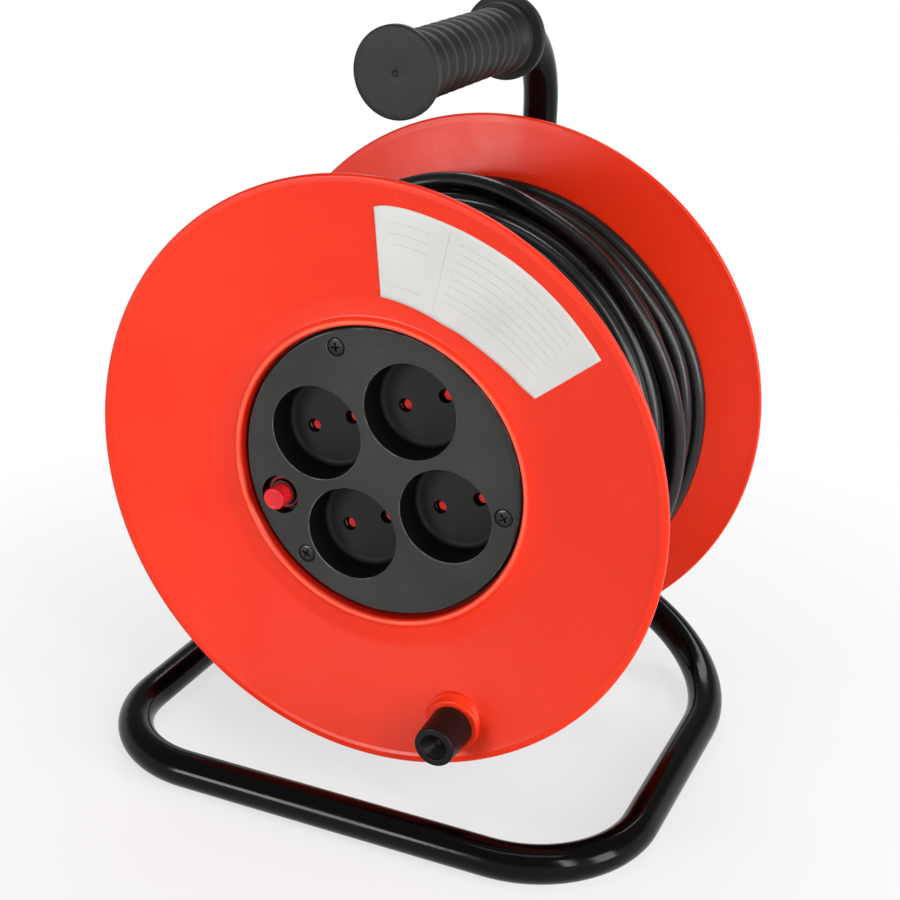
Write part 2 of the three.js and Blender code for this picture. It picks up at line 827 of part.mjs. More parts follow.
// A flat H-shaped strip that joins the contacts of one pole.
function contactStrip(column, front, bridge) {
  const back = front + stripThickness;
  const row = socketPitch / 2;
  const rails = [-column, column].map((x) =>
    block([x - stripWidth / 2, front, -row - 5], [x + stripWidth / 2, back, row + 5])
  );
  const bridgeBar = block([-column, front, bridge - 2.5], [column, back, bridge + 2.5]);
  const leaves = [-column, column].flatMap((x) => [-row, row].flatMap((z) => pinLeaves(x, z, front)));
  const ways = [-column, column].flatMap((x) => [-row, row].map((z) =>
    block([x - plugPinRadius, front - 1, z - plugPinRadius], [x + plugPinRadius, back + 1, z + plugPinRadius])
  ));
  return cut(join(...rails, bridgeBar, ...leaves), ...ways);
}

const innerColumn = socketPitch / 2 - pinPitch / 2;
const outerColumn = socketPitch / 2 + pinPitch / 2;
const bridgeOffset = 8.5;
place(insert, "contact_strip_inner", contactStrip(innerColumn, innerStripFront, bridgeOffset), brass);
place(insert, "contact_strip_outer", contactStrip(outerColumn, outerStripFront, -bridgeOffset), brass);

const wireWayRadius = 2;
const innerWirePlace = [-5, bridgeOffset];
const outerWirePlace = [5, -bridgeOffset];

function backCover() {
  const outer = slab(roundedSquare(coverHalf, coverCorner), carrierFront, coverBack);
  const inside = roundedSquare(coverHalf - coverWall, coverCorner - coverWall);
  const hollow = slab(inside, carrierFront - 1, coverBack - coverWall);
  const post = rod(centrePostRadius, carrierBack + gap, coverBack - 0.5, 12);
  const ways = [innerWirePlace, outerWirePlace].map(([x, z]) =>
    moved(rod(wireWayRadius, coverBack - coverWall - 1, coverBack + 1, 10), x, z)
  );
  return cut(join(cut(outer, hollow), post), ...ways, rod(pilotRadius, carrierBack - 1, coverBack + 1, 10));
}

place(insert, "contact_cover", backCover(), darkPlastic);
const coverScrew = join(
  rod(screwShankRadius, plateBack + recessDepth / 2, coverBack + gap + 1, 10),
  rod(3.4, coverBack + gap, coverBack + gap + 2.2, 12)
);
place(insert, "cover_screw", coverScrew, steel);

// ---------------------------------------------------------------- thermal cut-out
const cutoutFront = ledgeFace + 4;
const cutoutWall = 3;
const neckRadius = 5.4;
const collarRadius = 7.3;
const shoulderRadius = 5.4;
const chamberRadius = 6.1;
const stemLength = 5;
const springFoot = 5.2; // room left behind the stem with the button pressed
const chamberDepth = gap + stemLength + buttonTravel + springFoot;

function cutoutBody() {
  const body = block(
    [-cutoutInnerSide - cutoutWidth, cutoutFront, -cutoutLength / 2],
    [-cutoutInnerSide, cutoutFront + cutoutDepth, cutoutLength / 2]
  );
  const neck = moved(rod(neckRadius, plateFace + 2.6, cutoutFront + 1, 20), -buttonOffset, 0);
  const bore = moved(rod(buttonRadius + gap, plateFace, cutoutFront + 5, 16), -buttonOffset, 0);
  const chamberFront = cutoutFront + cutoutWall;
  const chamber = moved(rod(chamberRadius, chamberFront, chamberFront + chamberDepth, 16), -buttonOffset, 0);
  const tabs = [-cutoutTabSpread, cutoutTabSpread].map((z) =>
    block(
      [-buttonOffset - 2.5, cutoutFront + cutoutDepth - 0.5, z - 0.6],
      [-buttonOffset + 2.5, cutoutTabEnd, z + 0.6]
    )
  );
  return cut(join(body, neck, ...tabs), bore, chamber);
}

const cutoutTabSpread = 7;
const cutoutTabEnd = cutoutFront + cutoutDepth + 5;

place(insert, "thermal_cutout", cutoutBody(), darkPlastic);
const collar = ring(neckRadius + gap, collarRadius, plateFace + 2.2, cutoutFront - gap, 20);
place(insert, "button_collar", collar, signalRed, [-buttonOffset, 0, 0]);

function resetButton() {
  const tip = plateFace - buttonStandOut;
  const shoulder = cutoutFront + cutoutWall + gap;
  return turned(
    [
      [0, tip],
      [buttonRadius - 0.7, tip],
      [buttonRadius, tip + 0.7],
      [buttonRadius, shoulder],
      [shoulderRadius, shoulder],
      [shoulderRadius, shoulder + 1.5],
      [2.6, shoulder + 1.5],
      [2.6, shoulder + stemLength],
      [0, shoulder + stemLength],
    ],
    14
  );
}

place(insert, "reset_button", resetButton(), signalRed, [-buttonOffset, 0, 0]);

// The coil spring under the button's shoulder.
function resetSpring() {
  const from = cutoutFront + cutoutWall + 2 * gap + 1.5 + 0.5;
  const to = cutoutFront + cutoutWall + chamberDepth - gap - 0.5;
  const curls = 2;
  const steps = curls * 8;
  const points = Array.from({ length: steps + 1 }, (_, i) => {
    const a = (i * 2 * Math.PI) / 8;
    const [x, z] = polar(4.6, a);
    return new THREE.Vector3(x, from + ((to - from) * i) / steps, z);
  });
  return woundTube(points, 0.45, 5);
}

place(insert, "reset_spring", resetSpring(), steel, [-buttonOffset, 0, 0]);

// ---------------------------------------------------------------- cable inlet and wiring
function grommet() {
  const flange = barrelInner - 0.9;
  return cut(
    join(
      inletRod(grommetRadius, flange - 2, barrelRadius - 0.5),
      inletRod(grommetRadius + 2, flange - 2, flange)
    ),
    inletRod(cableRadius + gap, flange - 4, barrelRadius + 2)
  );
}

place(drum, "inlet_grommet", grommet(), blackRubber);
const leadEnd = shelfInner - 8.5;
place(drum, "inlet_lead", inletRod(cableRadius, leadEnd, barrelRadius - 0.2, 10), blackCable);

function leadClamp() {
  const bar = block(
    [shelfInner + 2, clampBottom, -shelfHalfLength],
    [shelfInner + 10, clampBottom + clampThickness, shelfHalfLength]
  );
  const holes = [-clampScrewSpread, clampScrewSpread].map((z) =>
    rod(1.7, clampBottom - 1, clampBottom + clampThickness + 1, 8).translate(shelfInner + 6, 0, z)
  );
  return carriedRound(cut(bar, ...holes), inletAngle);
}

place(drum, "lead_clamp", leadClamp(), darkPlastic);
[-clampScrewSpread, clampScrewSpread].forEach((z, i) => {
  const top = clampBottom + clampThickness + gap;
  const screw = join(rod(1.4, shelfTop - 4, top + 0.5, 8), rod(2.8, top, top + 1.8, 10));
  place(drum, `clamp_screw_${i + 1}`, carriedRound(screw.translate(shelfInner + 6, 0, z), inletAngle), steel);
});

// Insulated wires, in the drum's frame: from the lead to the cut-out and on to the two strips.
const wireRadius = 1.3;
const wireSpread = 1.8; // of a wire from the middle of the lead

function insertPoint(x, y, z) {
  return new THREE.Vector3(x, y, z).applyAxisAngle(new THREE.Vector3(0, 1, 0), -insertTurn).toArray();
}

function leadPoint(radius, station, side) {
  return new THREE.Vector3(radius, station, side)
    .applyAxisAngle(new THREE.Vector3(0, 1, 0), -inletAngle)
    .toArray();
}

const wireLift = coverBack + 8;
const liveWire = leadAlong(
  [
    leadPoint(leadEnd - gap, inletStation, wireSpread),
    leadPoint(leadEnd - 4, inletStation, wireSpread),
    leadPoint(leadEnd - 9, inletStation + 2, 2.5),
    insertPoint(0.5 - coverHalf, wireLift + 5, 16),
    insertPoint(-buttonOffset, cutoutTabEnd + 7, cutoutTabSpread),
    insertPoint(-buttonOffset, cutoutTabEnd + 2 * gap, cutoutTabSpread),
  ],
  wireRadius,
  10
);
place(drum, "wire_live", liveWire, brownWire);

const switchedWire = leadAlong(
  [
    insertPoint(-buttonOffset, cutoutTabEnd + 2 * gap, -cutoutTabSpread),
    insertPoint(-buttonOffset, cutoutTabEnd + 7, -cutoutTabSpread),
    insertPoint(-25, wireLift + 2, -4),
    insertPoint(innerWirePlace[0], wireLift - 2, innerWirePlace[1]),
    insertPoint(innerWirePlace[0], coverBack - 4, innerWirePlace[1]),
    insertPoint(innerWirePlace[0], innerStripFront + stripThickness + gap, innerWirePlace[1]),
  ],
  wireRadius,
  12
);
place(drum, "wire_switched", switchedWire, brownWire);

const neutralWire = leadAlong(
  [
    leadPoint(leadEnd - gap, inletStation, -wireSpread),
    leadPoint(leadEnd - 4, inletStation, -wireSpread),
    leadPoint(leadEnd - 9, inletStation + 4, -2.5),
    insertPoint(-10, wireLift + 8, 14),
    insertPoint(8, wireLift + 2, 2),
    insertPoint(outerWirePlace[0], coverBack, outerWirePlace[1]),
    insertPoint(outerWirePlace[0], outerStripFront + stripThickness + gap, outerWirePlace[1]),
  ],
  wireRadius,
  12
);
place(drum, "wire_neutral", neutralWire, blueWire);

// ---------------------------------------------------------------- winding
// Middle of the first strand of the outer layer, and of the last one, off the two flanges.
const strandClearance = cableRadius + 1.2;
const layerFront = dishBack(layerRadius) + strandClearance;
const layerBack = drumWidth - layerFront;

// The plug lies flat on the outer layer, so its middle line passes the axle at this distance.
const plugLine = layerRadius + cableRadius + plugThickness / 2 + 0.5;
const plugBodyStart = -10;
const reliefStart = plugBodyStart - plugReliefLength;
const straightStart = reliefStart - gap - cableDiameter;

// A point of the plug's middle line, at a distance along it from its nearest point to the axle.
function plugPoint(along, side = 0, out = 0) {
  const outward = new THREE.Vector3(Math.cos(plugBearing), 0, Math.sin(plugBearing));
  const tangent = new THREE.Vector3(-Math.sin(plugBearing), 0, Math.cos(plugBearing));
  const point = outward.multiplyScalar(plugLine + out).addScaledVector(tangent, along);
  point.y = plugStation + side;
  return point;
}

// Radius that eases from one value and slope to another over a turn of the drum.
function eased(from, to, slopeTo, s) {
  const s2 = s * s;
  const s3 = s2 * s;
  return from * (2 * s3 - 3 * s2 + 1) + to * (3 * s2 - 2 * s3) + slopeTo * (s3 - s2);
}

const totalTurns = layerTurns + topTurns;
const liftAngle = Math.atan2(straightStart, plugLine); // of the straight end, before the plug's bearing
const windingEnd = plugBearing + liftAngle;
const windingStart = windingEnd - totalTurns * 2 * Math.PI;
const liftTurn = 60 / 360;
const liftRadius = Math.hypot(plugLine, straightStart);

// The strand at a number of turns from its start. It fills the layer from front to back, perches on
// it against the rear flange, wanders over it and crosses to the plug.
function strand(turns) {
  const angle = windingStart + turns * 2 * Math.PI;
  const over = turns - layerTurns;
  const passed = (from, to) => THREE.MathUtils.smoothstep(over, from, to);
  const spread = THREE.MathUtils.clamp(turns / (layerTurns - 0.35), 0, 1);
  const sway = laySway * Math.cos(angle - swayAngle) * Math.sin(Math.PI * spread);
  const wander = -0.36 * passed(0.02, 0.85) + 0.22 * passed(0.88, 1.14);
  const wandered = layerBack + wander * (layerBack - layerFront);
  const station = THREE.MathUtils.lerp(layerFront, wandered, spread) + sway;
  const crossed = THREE.MathUtils.lerp(station, plugStation, passed(1.12, 1.52));
  let radius = layerRadius + perchRise * passed(-0.62, -0.35);
  radius += (crossingRise - perchRise) * passed(-0.03, 0.18);
  const lift = 1 - (topTurns - over) / liftTurn;
  const slope = liftRadius * Math.tan(liftAngle) * liftTurn * 2 * Math.PI;
  if (lift > 0) radius = eased(topRadius, liftRadius, slope, lift);
  return new THREE.Vector3(radius * Math.cos(angle), crossed, radius * Math.sin(angle));
}

// The least distance between two strands, less their thickness, over points closer than a degree or two.
function leastGap() {
  const perTurn = 240;
  const count = Math.floor(totalTurns * perTurn);
  const points = Array.from({ length: count + 1 }, (_, i) => strand((i * totalTurns) / count));
  const apart = perTurn / 4;
  let least = Infinity;
  for (let i = 0; i < points.length; i += 1) {
    for (let j = i + apart; j < points.length; j += 1) {
      const d = points[i].distanceToSquared(points[j]);
      if (d < least) least = d;
    }
  }
  return Math.sqrt(least) - cableDiameter;
}

function winding() {
  const count = Math.round(totalTurns * loopSteps);
  const points = Array.from({ length: count + 1 }, (_, i) => strand((i * totalTurns) / count));
  const first = strand(0);
  const tangent = new THREE.Vector3(-first.z, 0, first.x).normalize();
  points[0] = first.clone().addScaledVector(tangent, gap);
  points.splice(1, 0, first.clone().addScaledVector(tangent, gap + cableDiameter));
  points.push(plugPoint(reliefStart - gap));
  return woundTube(points, cableRadius, 6);
}

console.log(`least gap of the winding to itself: ${leastGap().toFixed(2)} mm`);
place(drum, "cable_winding", winding(), blackCable);

// The layers under the outer one, as one ring, with the strand that climbs out of it.
function cableCore() {
  const inner = barrelRadius + gap;
  const front = (r) => dishBack(r) + gap;
  const body = turned(
    [
      [inner, front(inner)],
      [creaseRadius, front(creaseRadius)],
      [coreRadius, front(coreRadius)],
      [coreRadius, drumWidth - front(coreRadius)],
      [creaseRadius, drumWidth - front(creaseRadius)],
      [inner, drumWidth - front(inner)],
    ],
    flangeSides
  );
  const climb = Array.from({ length: 7 }, (_, i) => {
    const s = i / 6;
    const angle = windingStart - (1 - s) * 0.9;
    const radius = layerRadius - cableDiameter * THREE.MathUtils.smoothstep(1 - s, 0, 1);
    const station = Math.max(strand(0).y, front(radius - cableRadius) + cableRadius + gap);
    return new THREE.Vector3(radius * Math.cos(angle), station, radius * Math.sin(angle));
  });
  const last = climb.at(-1);
  const tangent = new THREE.Vector3(-last.z, 0, last.x).normalize();
  climb[5] = last.clone().addScaledVector(tangent, -cableDiameter);
  return join(body, woundTube(climb, cableRadius, 6));
}

place(drum, "cable_core", cableCore(), blackCable);

// ---------------------------------------------------------------- plug
// An oval of points across the plug's line, rounded more or less by its power.
function plugOval(along, width, thickness, power) {
  return Array.from({ length: 16 }, (_, j) => {
    const a = ((j + 0.5) * 2 * Math.PI) / 16;
    const [c, s] = [Math.cos(a), Math.sin(a)];
    const side = (width / 2) * Math.sign(c) * Math.abs(c) ** (2 / power);
    const out = (thickness / 2) * Math.sign(s) * Math.abs(s) ** (2 / power);
    return plugPoint(along, side, out);
  });
}

function plugBody() {
  const start = plugBodyStart;
  const face = start + plugBodyLength;
  const neck = 11.5;
  const reliefRings = 3;
  const rings = [plugOval(reliefStart, cableDiameter + 1.6, cableDiameter + 1.6, 2)];
  for (let i = 0; i < reliefRings; i += 1) {
    const at = reliefStart + ((i + 1) * plugReliefLength) / (reliefRings + 0.5);
    const wide = THREE.MathUtils.lerp(cableDiameter + 1.6, neck, (i + 1) / reliefRings);
    rings.push(plugOval(at - 1.3, wide - 0.4, wide - 0.4, 2), plugOval(at - 1.1, wide - 1.6, wide - 1.6, 2));
    rings.push(plugOval(at, wide - 1.6, wide - 1.6, 2), plugOval(at + 0.2, wide, wide, 2));
  }
  rings.push(plugOval(start, neck + 1, neck, 2));
  rings.push(plugOval(start + 4, plugWidth * 0.58, plugThickness * 0.66, 2.3));
  rings.push(plugOval(start + 11, plugWidth * 0.72, plugThickness * 0.8, 2.6));
  rings.push(plugOval(face - 9, plugWidth * 0.97, plugThickness * 0.99, 3.4));
  rings.push(plugOval(face - 1.2, plugWidth, plugThickness, 3.6));
  rings.push(plugOval(face, plugWidth - 1.6, plugThickness - 1.6, 3.6));
  return skinned(rings);
}

place(drum, "plug_body", plugBody(), blackPlastic);

[-pinPitch / 2, pinPitch / 2].forEach((side, i) => {
  const from = plugBodyStart + plugBodyLength + gap;
  const tip = from + plugPinLength;
  const sizes = [[from, plugPinRadius], [tip - 1.4, plugPinRadius], [tip, plugPinRadius - 1.2]];
  const rings = sizes.map(([along, radius]) =>
    Array.from({ length: 12 }, (_, j) => {
      const a = (j * Math.PI) / 6;
      return plugPoint(along, side + radius * Math.cos(a), radius * Math.sin(a));
    })
  );
  place(drum, `plug_pin_${i + 1}`, skinned(rings), steel);
});

// ---------------------------------------------------------------- crank knob
const knobBase = knobBossFace - gap;
const knobTip = knobBase - knobLength;
const pinTip = knobBase - 9;

function crankKnob() {
  const bore = knobPinRadius + runningGap;
  return turned(
    [
      [bore, knobBase],
      [knobRadius, knobBase],
      [knobTipRadius, knobTip + 0.5],
      [knobTipRadius - 0.5, knobTip],
      [knobTipRadius - 2.3, knobTip],
      [knobTipRadius - 3, knobTip + 1.6],
      [0, knobTip + 6.5],
      [0, pinTip - gap],
      [bore, pinTip - gap],
      [bore, pinTip + 0.4],
      [bore + 1, pinTip + 0.8],
      [bore + 1, pinTip + 3.2],
      [bore, pinTip + 3.6],
    ],
    20
  );
}

place(drum, "crank_knob", crankKnob(), blackRubber, [knobX, 0, knobZ]);

function knobPin() {
  const bead = knobPinRadius + 0.8;
  const back = knobBossBack + gap;
  return turned(
    [
      [0, pinTip],
      [knobPinRadius - 0.5, pinTip],
      [bead, pinTip + 1.3],
      [bead, pinTip + 2.7],
      [knobPinRadius, pinTip + 3.3],
      [knobPinRadius, back],
      [pinHeadRadius, back],
      [pinHeadRadius, back + 2],
      [0, back + 2],
    ],
    12
  );
}

place(drum, "knob_pin", knobPin(), steel, [knobX, 0, knobZ]);

// ---------------------------------------------------------------- axle
const bushFrontEnd = hubWallFront - bushReach;
const bushFlangeBack = bossBack + gap + 2;
const axle = new THREE.Group();
axle.position.set(0, drumFront, axisHeight);
reel.add(axle);

const hubBush = turned(
  [
    [axleRadius + runningGap, bushFrontEnd],
    [bushOuter, bushFrontEnd],
    [bushOuter, bossBack + gap],
    [bossTip - 2, bossBack + gap],
    [bossTip - 2, bushFlangeBack],
    [axleRadius + runningGap, bushFlangeBack],
  ],
  16
);
place(drum, "hub_bush", hubBush, whitePlastic);

const rearWasherBack = riserBack - tubeRadius - gap;
place(axle, "rear_washer", ring(axleRadius + gap, 11, bushFlangeBack + gap, rearWasherBack), steel);
const frontWasherFront = bushFrontEnd - gap - washerThickness;
place(axle, "front_washer", ring(axleRadius + gap, 11, frontWasherFront, bushFrontEnd - gap), steel);
const nutFront = frontWasherFront - gap - 8;
const nutBlank = rod(boltHeadRadius, nutFront, frontWasherFront - gap, 6);
place(axle, "axle_nut", cut(nutBlank, rod(axleRadius + gap, 0, riserBack, 16)), steel);
const headFront = riserBack + tubeRadius + gap;
const axleBolt = join(
  rod(axleRadius, nutFront - 3, headFront + 1, 20),
  turned(
    [
      [0, headFront],
      [boltHeadRadius, headFront],
      [boltHeadRadius, headFront + 4.6],
      [7.6, boltHeadBack],
      [0, boltHeadBack],
    ],
    6
  )
);
place(axle, "axle_bolt", axleBolt, steel);

// ---------------------------------------------------------------- stand
const frontBarY = drumFront - frontReach;
const riserY = drumFront + riserBack;
const riserFootHeight = tubeFlat + standHalfWidth * Math.tan(legSlope);
const handleHeight = axisHeight + gripAxis;
const gripFront = drumFront + gripSetback;
const gripBack = gripFront + gripLength;
const tubeEnd = gripFront + 12;

const bendStep = 18; // degrees

function corner(x, y, z) {
  return new THREE.Vector3(x, y, z);
}

// From the middle of the front bar to the right, up behind the drum and forward into the grip.
function rightRun() {
  const corners = [
    corner(0, frontBarY, tubeFlat),
    corner(standHalfWidth, frontBarY, tubeFlat),
    corner(standHalfWidth, riserY, tubeFlat),
    corner(0, riserY, riserFootHeight),
    corner(0, riserY, handleHeight),
    corner(0, tubeEnd, handleHeight),
  ];
  return new BentTube(corners, [cornerBend, rearBend, riserBend, handleBend], bendStep);
}

// From the middle of the front bar to the left and round to the foot of the riser.
function leftRun() {
  const corners = [
    corner(0, frontBarY, tubeFlat),
    corner(-standHalfWidth, frontBarY, tubeFlat),
    corner(-standHalfWidth, riserY, tubeFlat),
    corner(6, riserY, riserFootHeight + 6 * Math.tan(legSlope)),
  ];
  return new BentTube(corners, [cornerBend, rearBend], bendStep);
}

// The right-hand leg where it turns up into the riser, a little thicker, to cope the left leg's end.
function copeTool() {
  const corners = [
    corner(standHalfWidth / 2, riserY, tubeFlat + (standHalfWidth / 2) * Math.tan(legSlope)),
    corner(0, riserY, riserFootHeight),
    corner(0, riserY, axisHeight),
  ];
  return tubeAlong(new BentTube(corners, [riserBend], bendStep), tubeRadius + gap);
}

function standTube() {
  const left = cut(tubeAlong(leftRun(), tubeRadius, boreRadius), copeTool());
  const right = tubeAlong(rightRun(), tubeRadius, boreRadius);
  const drill = rod(axleRadius + gap, riserY - 2 * tubeRadius, riserY + 2 * tubeRadius, 16);
  const boltWay = drill.translate(0, 0, axisHeight);
  return cut(join(left, right), boltWay);
}

place(reel, "stand_tube", standTube(), blackPaint);

function grip() {
  const front = 0;
  const back = gripLength;
  const ribsFrom = 14;
  const bore = tubeRadius + gap;
  const outline = [
    [0, front + 0.5],
    [1.2, front],
    [gripCapRadius - 0.9, front],
    [gripCapRadius, front + 0.9],
    [gripCapRadius, front + gripCapThickness - 0.9],
    [gripCapRadius - 1, front + gripCapThickness],
    [gripWaistRadius + 1.6, front + 6],
    [gripWaistRadius, front + 9.5],
  ];
  for (let i = 0; i < gripRibs; i += 1) {
    const at = ribsFrom + i * gripRibPitch;
    outline.push([gripWaistRadius, at], [gripRibRadius, at + 0.45 * gripRibPitch]);
  }
  const ribsTo = ribsFrom + gripRibs * gripRibPitch;
  outline.push(
    [gripWaistRadius, ribsTo],
    [gripCollarRadius, ribsTo + 4],
    [gripCollarRadius, back - 6],
    [gripCollarRadius - 1.2, back - 5],
    [gripCollarRadius - 1.2, back - 4],
    [gripFlangeRadius - 0.6, back - 3.4],
    [gripFlangeRadius, back - 2.8],
    [gripFlangeRadius, back - 0.8],
    [gripFlangeRadius - 0.8, back],
    [bore, back],
    [bore, tubeEnd - gripFront - 2],
    [0, tubeEnd - gripFront - 2]
  );
  return turned(outline, 20);
}

place(reel, "grip", grip(), blackRubber, [0, gripFront, handleHeight]);

export default reel;
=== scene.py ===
"""Extension cord reel: everything that shows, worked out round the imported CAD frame.

Shapes are written in millimetres in the drum's own frame (origin on the axle in the plane of the
front rim, X right, Y to the back, Z up) and become metres in the frame of the whole reel last.
"""
import math

import bmesh
import bpy
import numpy as np
from mathutils import Matrix, Vector
from mathutils.geometry import delaunay_2d_cdt


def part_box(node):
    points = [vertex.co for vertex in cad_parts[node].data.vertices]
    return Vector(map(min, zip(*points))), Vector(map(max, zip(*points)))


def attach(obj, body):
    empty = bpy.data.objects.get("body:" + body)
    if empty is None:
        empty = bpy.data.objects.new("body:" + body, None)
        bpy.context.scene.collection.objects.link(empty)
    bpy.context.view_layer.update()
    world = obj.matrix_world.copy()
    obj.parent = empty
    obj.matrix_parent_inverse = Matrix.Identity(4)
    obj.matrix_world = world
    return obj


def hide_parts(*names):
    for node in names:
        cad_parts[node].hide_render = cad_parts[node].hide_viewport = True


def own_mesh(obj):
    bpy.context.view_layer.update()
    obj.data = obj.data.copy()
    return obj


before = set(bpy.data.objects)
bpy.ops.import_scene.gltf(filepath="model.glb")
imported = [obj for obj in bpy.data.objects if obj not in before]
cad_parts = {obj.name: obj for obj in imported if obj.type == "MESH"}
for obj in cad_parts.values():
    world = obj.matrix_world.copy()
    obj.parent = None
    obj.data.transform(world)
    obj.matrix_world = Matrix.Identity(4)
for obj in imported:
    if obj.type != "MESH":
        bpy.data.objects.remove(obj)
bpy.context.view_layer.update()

TAU = 2 * math.pi

# ------------------------------ places
drum_low, drum_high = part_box("front_flange")
DRUM_FRONT = drum_low.y * 1000  # the front rim
AXLE_HEIGHT = (drum_low.z + drum_high.z) * 500
DRUM_WIDTH = 138.0
BARREL, CREASE, RIM = 68.0, 75.0, 125.0  # radii: the barrel, the crease in the flange, its edge
DISH_FRONT, DISH_BACK = 10.0, 12.7  # depths of the flange inside its crease
RISER_BACK = 176.0
INSERT_TURN = math.radians(21.5)
BUTTON_X = -50.0  # before the insert is turned, as are the places of the sockets
PIN_APART = 9.5  # of each pin from the middle of its socket
CABLE = 7.5  # its diameter
PLATE_FACE, PLATE_BACK, RECESS_FLOOR, RECESS_BACK, SHUTTER_FACE = 12.2, 15.2, 27.2, 29.2, 29.5


def in_reel(points):
    """Drum frame in millimetres to reel frame in metres: moved by the place of the front rim."""
    moved = np.asarray(points, float).reshape(-1, 3) + (0.0, DRUM_FRONT, AXLE_HEIGHT)
    return moved / 1000


def polar(radius, angle):
    return radius * math.cos(angle), radius * math.sin(angle)


def depths(node):
    """The first and the last depth of a CAD solid along the axle."""
    low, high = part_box(node)
    return low.y * 1000 - DRUM_FRONT, high.y * 1000 - DRUM_FRONT


def added(name, data):
    """A new object of a mesh, a lamp or a camera, in the scene."""
    made = bpy.data.objects.new(name, data)
    bpy.context.scene.collection.objects.link(made)
    return made


# ------------------------------ camera
def place_camera():
    """The photograph's view: 23.62 degrees to the right, 22.46 down, rolled 1.5 degrees."""
    az, el, roll = (math.radians(a) for a in (23.62, 22.46, 1.5))
    data = bpy.data.cameras.new("camera")
    data.sensor_width, data.lens, data.clip_start = 36.0, 66.13, 0.05
    camera = added("camera", data)
    turn = Matrix.Rotation(az, 4, "Z") @ Matrix.Rotation(math.pi / 2 - el, 4, "X")
    turn = turn @ Matrix.Rotation(roll, 4, "Z")
    camera.matrix_world = Matrix.Translation(in_reel([271.8, -539.1, 265.5])[0]) @ turn
    bpy.context.scene.camera = camera


place_camera()


# ------------------------------ surfaces
def grid_quads(rows, columns, wrap_rows=False, wrap_columns=False):
    """The quads of a grid of points, row by row, joined up at the ends where it wraps."""
    i = np.arange(rows if wrap_rows else rows - 1)
    j = np.arange(columns if wrap_columns else columns - 1)
    i, j = np.meshgrid(i, j, indexing="ij")
    i2, j2 = (i + 1) % rows, (j + 1) % columns
    quads = np.stack([i * columns + j, i2 * columns + j, i2 * columns + j2, i * columns + j2], -1)
    return quads.reshape(-1, 4)


def filleted(corners, closed=True, step=0.2):
    """An outline whose corners (x, y, radius) are rounded by arcs that touch both sides."""
    pts = np.array([c[:2] for c in corners], float)
    radii = [c[2] if len(c) > 2 else 0.0 for c in corners]
    count = len(pts)
    out = []
    for k in range(count):
        here = pts[k]
        if radii[k] <= 0 or (not closed and k in (0, count - 1)):
            out.append(here[None])
            continue
        before, after = pts[k - 1] - here, pts[(k + 1) % count] - here
        room = 0.49 * min(np.linalg.norm(before), np.linalg.norm(after))
        before, after = before / np.linalg.norm(before), after / np.linalg.norm(after)
        half = math.acos(float(np.clip(before @ after, -1, 1))) / 2
        reach = min(radii[k] / math.tan(half), room)
        radius = reach * math.tan(half)
        middle = here + (before + after) / np.linalg.norm(before + after) * radius / math.sin(half)
        start, end = here + before * reach - middle, here + after * reach - middle
        sweep = math.pi - 2 * half
        n = max(int(math.ceil(sweep / step)), 1)
        s = np.arange(n + 1)[:, None] / n
        weights = np.sin((1 - s) * sweep), np.sin(s * sweep)
        out.append(middle + (start * weights[0] + end * weights[1]) / math.sin(sweep))
    return np.concatenate(out)


def about_axle(radius, y, angle):
    """The point or points at x = r cos t, y, z = r sin t."""
    return np.stack([radius * np.cos(angle), y + 0 * angle, radius * np.sin(angle)], -1)


def turned(outline, sides, closed):
    """An outline of (radius, y) turned about the axle."""
    points = about_axle(outline[:, :1], outline[:, 1:], np.arange(sides) * TAU / sides)
    return points.reshape(-1, 3), grid_quads(len(outline), sides, closed, True)


def shifted(shape, x, z):
    points, faces = shape
    return points + (x, 0.0, z), faces


def lathe(corners, sides, step=0.2, closed=False, at=(0.0, 0.0)):
    """Rounded corners (radius, y, fillet) turned about the line along Y through at = (x, z)."""
    return shifted(turned(filleted(corners, closed, step), sides, closed), *at)


def carried_round(shape, angle):
    """A shape turned about the axle, counter-clockwise from the front."""
    points, faces = shape
    c, s = math.cos(angle), math.sin(angle)
    x, y, z = points.T
    return np.stack([x * c - z * s, y, x * s + z * c], -1), faces


def capped(rings):
    """Rings of equal count skinned one to the next, with a fan to a middle point at both ends."""
    rings = np.asarray(rings, float)
    rows, columns = rings.shape[:2]
    middles = [rings[0].mean(0)[None], rings[-1].mean(0)[None]]
    points = np.concatenate([rings.reshape(-1, 3), *middles])
    j = np.arange(columns)
    j2 = (j + 1) % columns
    first, last, end = rows * columns, rows * columns + 1, (rows - 1) * columns
    low = np.stack([np.full(columns, first), j, j2], -1)
    high = np.stack([np.full(columns, last), end + j2, end + j], -1)
    return points, [*grid_quads(rows, columns, False, True).tolist(), *low.tolist(), *high.tolist()]


def tube_rings(path, normals, across, radius, sides):
    """Rings round a path: p + R (n cos a + b sin a)."""
    a = np.arange(sides) * TAU / sides
    offset = normals[:, None] * np.cos(a)[None, :, None] + across[:, None] * np.sin(a)[None, :, None]
    return path[:, None] + np.broadcast_to(radius, len(path))[:, None, None] * offset


def swept(path, radius, sides, normal):
    """A round section carried along a path without twist, from a first normal."""
    tangent = np.gradient(path, axis=0)
    tangent /= np.linalg.norm(tangent, axis=1)[:, None]
    n = np.array(normal, float)
    normals = np.empty_like(path)
    for i, t in enumerate(tangent):
        n = n - t * (n @ t)
        n /= np.linalg.norm(n)
        normals[i] = n
    return tube_rings(path, normals, np.cross(tangent, normals), radius, sides)


def circle(x, z, radius, sides):
    t = np.arange(sides) * TAU / sides
    return np.stack([x + radius * np.cos(t), z + radius * np.sin(t)], -1)


